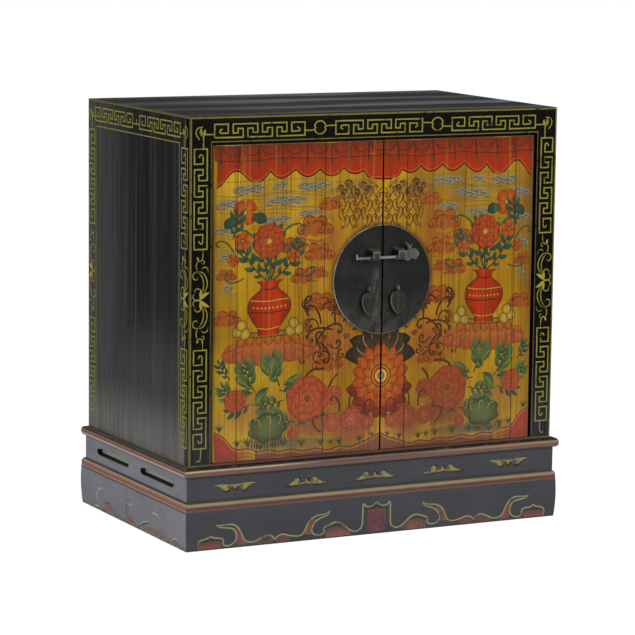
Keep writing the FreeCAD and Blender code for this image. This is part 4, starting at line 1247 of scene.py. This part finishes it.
def plate_iron(where):
    """The lock plate's black iron: darker above and on the right, dusty below, with its filed rim
    bright, partly from rubbing and partly as a painted highlight, and a smear rubbed beside the pulls."""
    colour, tone = iron_black(where)
    x, _, z = parts(where)
    # The pale rim is rubbed iron and a painted highlight together.
    rim = spread(from_meeting(x, z, lock_level), 0.1135, 0.1142) * spread(tone, 0.40, 0.52, 0.45, 1.0)
    colour = blend(colour, rim, (172, 166, 142))
    mottle = cloud(where, (42, 42, 36), 5.0, 0.72, (6, 0, 0))
    high = spread(z, 0.53, 0.62) * spread(mottle, 0.40, 0.60, 0.3, 1.0)
    colour = blend(colour, high * 0.7, (5, 6, 8))
    dusted = spread(z, 0.52, 0.45) * spread(mottle, 0.36, 0.60)
    colour = blend(colour, dusted * 0.5, (72, 70, 64))
    colour = tinge(colour, (5, 6, 5), x, 0.020, 0.060, 0.0, 0.42)
    smear = spread(abs(x + 0.004), 0.014, 0.002) * spread(z, 0.575, 0.54)
    return blend(colour, smear * spread(cloud(where, (90, 90, 24), 4.0, 0.7), 0.38, 0.68), (78, 80, 76)), tone


brown_iron = beaten((34, 33, 27), (66, 62, 48))
for side in sides:
    clad(f"lock_plate_{side}", plate_iron, 0.4, 0.35, bump=0.5)
    clad(f"lock_loop_{side}", brown_iron, 0.4, 0.4, (120, 116, 98), 0.0009, bump=0.5)


def pin_iron(where):
    """The pin: its bar bright from sliding, its cut head duller."""
    colour, tone = beaten((84, 82, 82), (132, 128, 124))(where)
    return tinge(colour, (58, 54, 55), parts(where)[0], 0.052, 0.060, 0.0, 0.7), tone


clad("lock_pin", pin_iron, 0.34, 0.7, (180, 176, 170), 0.0008, bump=0.5)
bronze_pale = beaten((52, 48, 42), (112, 106, 94))


def leaf_bronze(centre, painted_shade):
    """A pull: dark in its middle, with pale veins leaning up from a midrib and a pale rim, strongest on
    the left, partly rubbed and partly a painted highlight. Its half width at a height is read from a ramp;
    the last argument is how far the whole pull is darkened as painted shade."""
    top, length, half_width = 0.521, 0.054, 0.017

    def ground(where):
        colour, tone = beaten((22, 18, 14), (54, 46, 36))(where)
        # The whole pull is darkened here as painted shade.
        colour = blend(colour, painted_shade, (10, 8, 5))
        x, _, z = parts(where)
        aside = abs(x - centre)
        shape = [(0.0, 0.22), (0.2, 0.82), (0.42, 1.0), (0.68, 0.76), (0.86, 0.36), (1.0, 0.04)]
        half = ramp((top - z) / length, [(place, (wide, wide, wide, 1)) for place, wide in shape])
        rim = spread(aside / half_width / half, 0.89, 0.99) * spread(x - centre, -0.004, 0.006, 0.40, 0.06)
        vein = spread(maths("SINE", z * 900 - aside * 700), 0.6, 1.0, 0.0, 0.1)
        rib = spread(aside, 0.0009, 0.0003, 0.0, 0.22)
        share = maths("MAXIMUM", maths("MAXIMUM", vein, rib), rim)
        return blend(colour, share * spread(tone, 0.3, 0.6, 0.35, 0.9), (158, 150, 134)), tone
    return ground


# The right pull is darkened as painted shade.
for side, centre, painted_shade in (("left", -0.023, 0.0), ("right", 0.045, 0.45)):
    clad(f"pull_eye_{side}", bronze_pale, 0.36, 0.6, bump=0.5)
    clad(f"pull_{side}", leaf_bronze(centre, painted_shade), 0.42, 0.35, bump=0.5)

# ------------------------------------------------------------------ studio
# A pale seamless floor under a plain white surround, with one large soft lamp high on the
# right of the front and a weaker one on the left.


def stood(thing, name, right, up, back, place):
    """Adds a camera or lamp to the scene by its three axes and its place."""
    stand = bpy.data.objects.new(name, thing)
    pose = np.eye(4)
    pose[:3] = np.stack([right, up, back, place], 1)
    stand.matrix_world = Matrix(pose)
    bpy.context.scene.collection.objects.link(stand)
    return stand


turn, tilt, lean = np.radians([-28.01, 8.87, 0.8126])
back = np.array([np.sin(turn) * np.cos(tilt), -np.cos(turn) * np.cos(tilt), np.sin(tilt)])
level = np.array([np.cos(turn), np.sin(turn), 0.0])
up = np.cross(back, level)
lens = bpy.data.cameras.new("camera")
lens.lens, lens.shift_x, lens.shift_y = 170.86, -0.0835, 0.0419
bpy.context.scene.camera = stood(lens, "camera", np.cos(lean) * level + np.sin(lean) * up,
                                 np.cos(lean) * up - np.sin(lean) * level, back, (-2.9438, -5.7731, 1.3787))
for name, place, aim, power, colour in (
        ("key_lamp", (1.6, -3.6, 2.6), (0, 0, 0.45), 102, (1.0, 0.985, 0.96)),
        ("fill_lamp", (-3.6, -0.9, 1.2), (0, 0, 0.3), 62, (0.95, 0.975, 1.0))):
    light = bpy.data.lights.new(name, "AREA")
    light.energy, light.size, light.color = power, 2.4, colour
    away = np.array(place) - aim
    away = away / np.linalg.norm(away)
    across = np.cross((0, 0, 1), away)
    across = across / np.linalg.norm(across)
    stood(light, name, across, np.cross(away, across), away, place)


def emptied(thing):
    """The node tree of a world or a material with nothing in it but the kinds of ray, by their names."""
    thing.use_nodes = True
    tree = thing.node_tree
    tree.nodes.clear()
    return tree, {socket.name: Field(socket) for socket in put("LightPath", {}, 0, tree).node.outputs}


world = bpy.context.scene.world or bpy.data.worlds.new("surround")
bpy.context.scene.world = world
tree, path = emptied(world)
seen = maths("MAXIMUM", path["Is Camera Ray"], path["Is Transmission Ray"])
white = put("Background", {0: (1, 1, 1, 1), 1: 1.0}, 0, tree)
shiny = put("Background", {0: (1, 1, 1, 1), 1: 0.13}, 0, tree)
soft = put("Background", {0: (0.97, 0.985, 1.0, 1), 1: 0.5}, 0, tree)
lit = put("MixShader", {0: path["Is Glossy Ray"], 1: soft, 2: shiny})
last = tree.nodes.new("ShaderNodeOutputWorld")
tree.links.new(put("MixShader", {0: seen, 1: lit, 2: white}).socket, last.inputs[0])

size = 14.0
corners = [(-size, -size, 0), (size, -size, 0), (size, size, 0), (-size, size, 0)]
floor_mesh = bpy.data.meshes.new("studio_floor")
floor_mesh.from_pydata(corners, [], [(0, 1, 2, 3)])
floor = bpy.data.objects.new("studio_floor", floor_mesh)
bpy.context.scene.collection.objects.link(floor)
paper = bpy.data.materials.new("floor_paper")
tree, path = emptied(paper)
# In reflections the floor's white fades from 0.8 near the cabinet to 0.06 far out: a painted pool of light.
away = put("VectorMath", {0: put("TexCoord", {}, 3, tree)}, 1, operation="LENGTH")
near = put("Mix", {0: path["Is Glossy Ray"], 2: 0.8, 3: spread(away, 1.0, 3.4, 0.8, 0.06)}, data_type="FLOAT")
matt = put("BsdfDiffuse", {0: put("CombineColor", {0: near, 1: near, 2: near})})
shaded = put("BsdfDiffuse", {0: (0.16, 0.16, 0.16, 1)}, 0, tree)
glow = put("Emission", {0: (1, 1, 1, 1), 1: 0.93}, 0, tree)
seen = put("AddShader", {0: shaded, 1: glow})
last = tree.nodes.new("ShaderNodeOutputMaterial")
tree.links.new(put("MixShader", {0: path["Is Camera Ray"], 1: matt, 2: seen}).socket, last.inputs[0])
floor_mesh.materials.append(paper)
bpy.context.scene.view_settings.view_transform = "Standard"
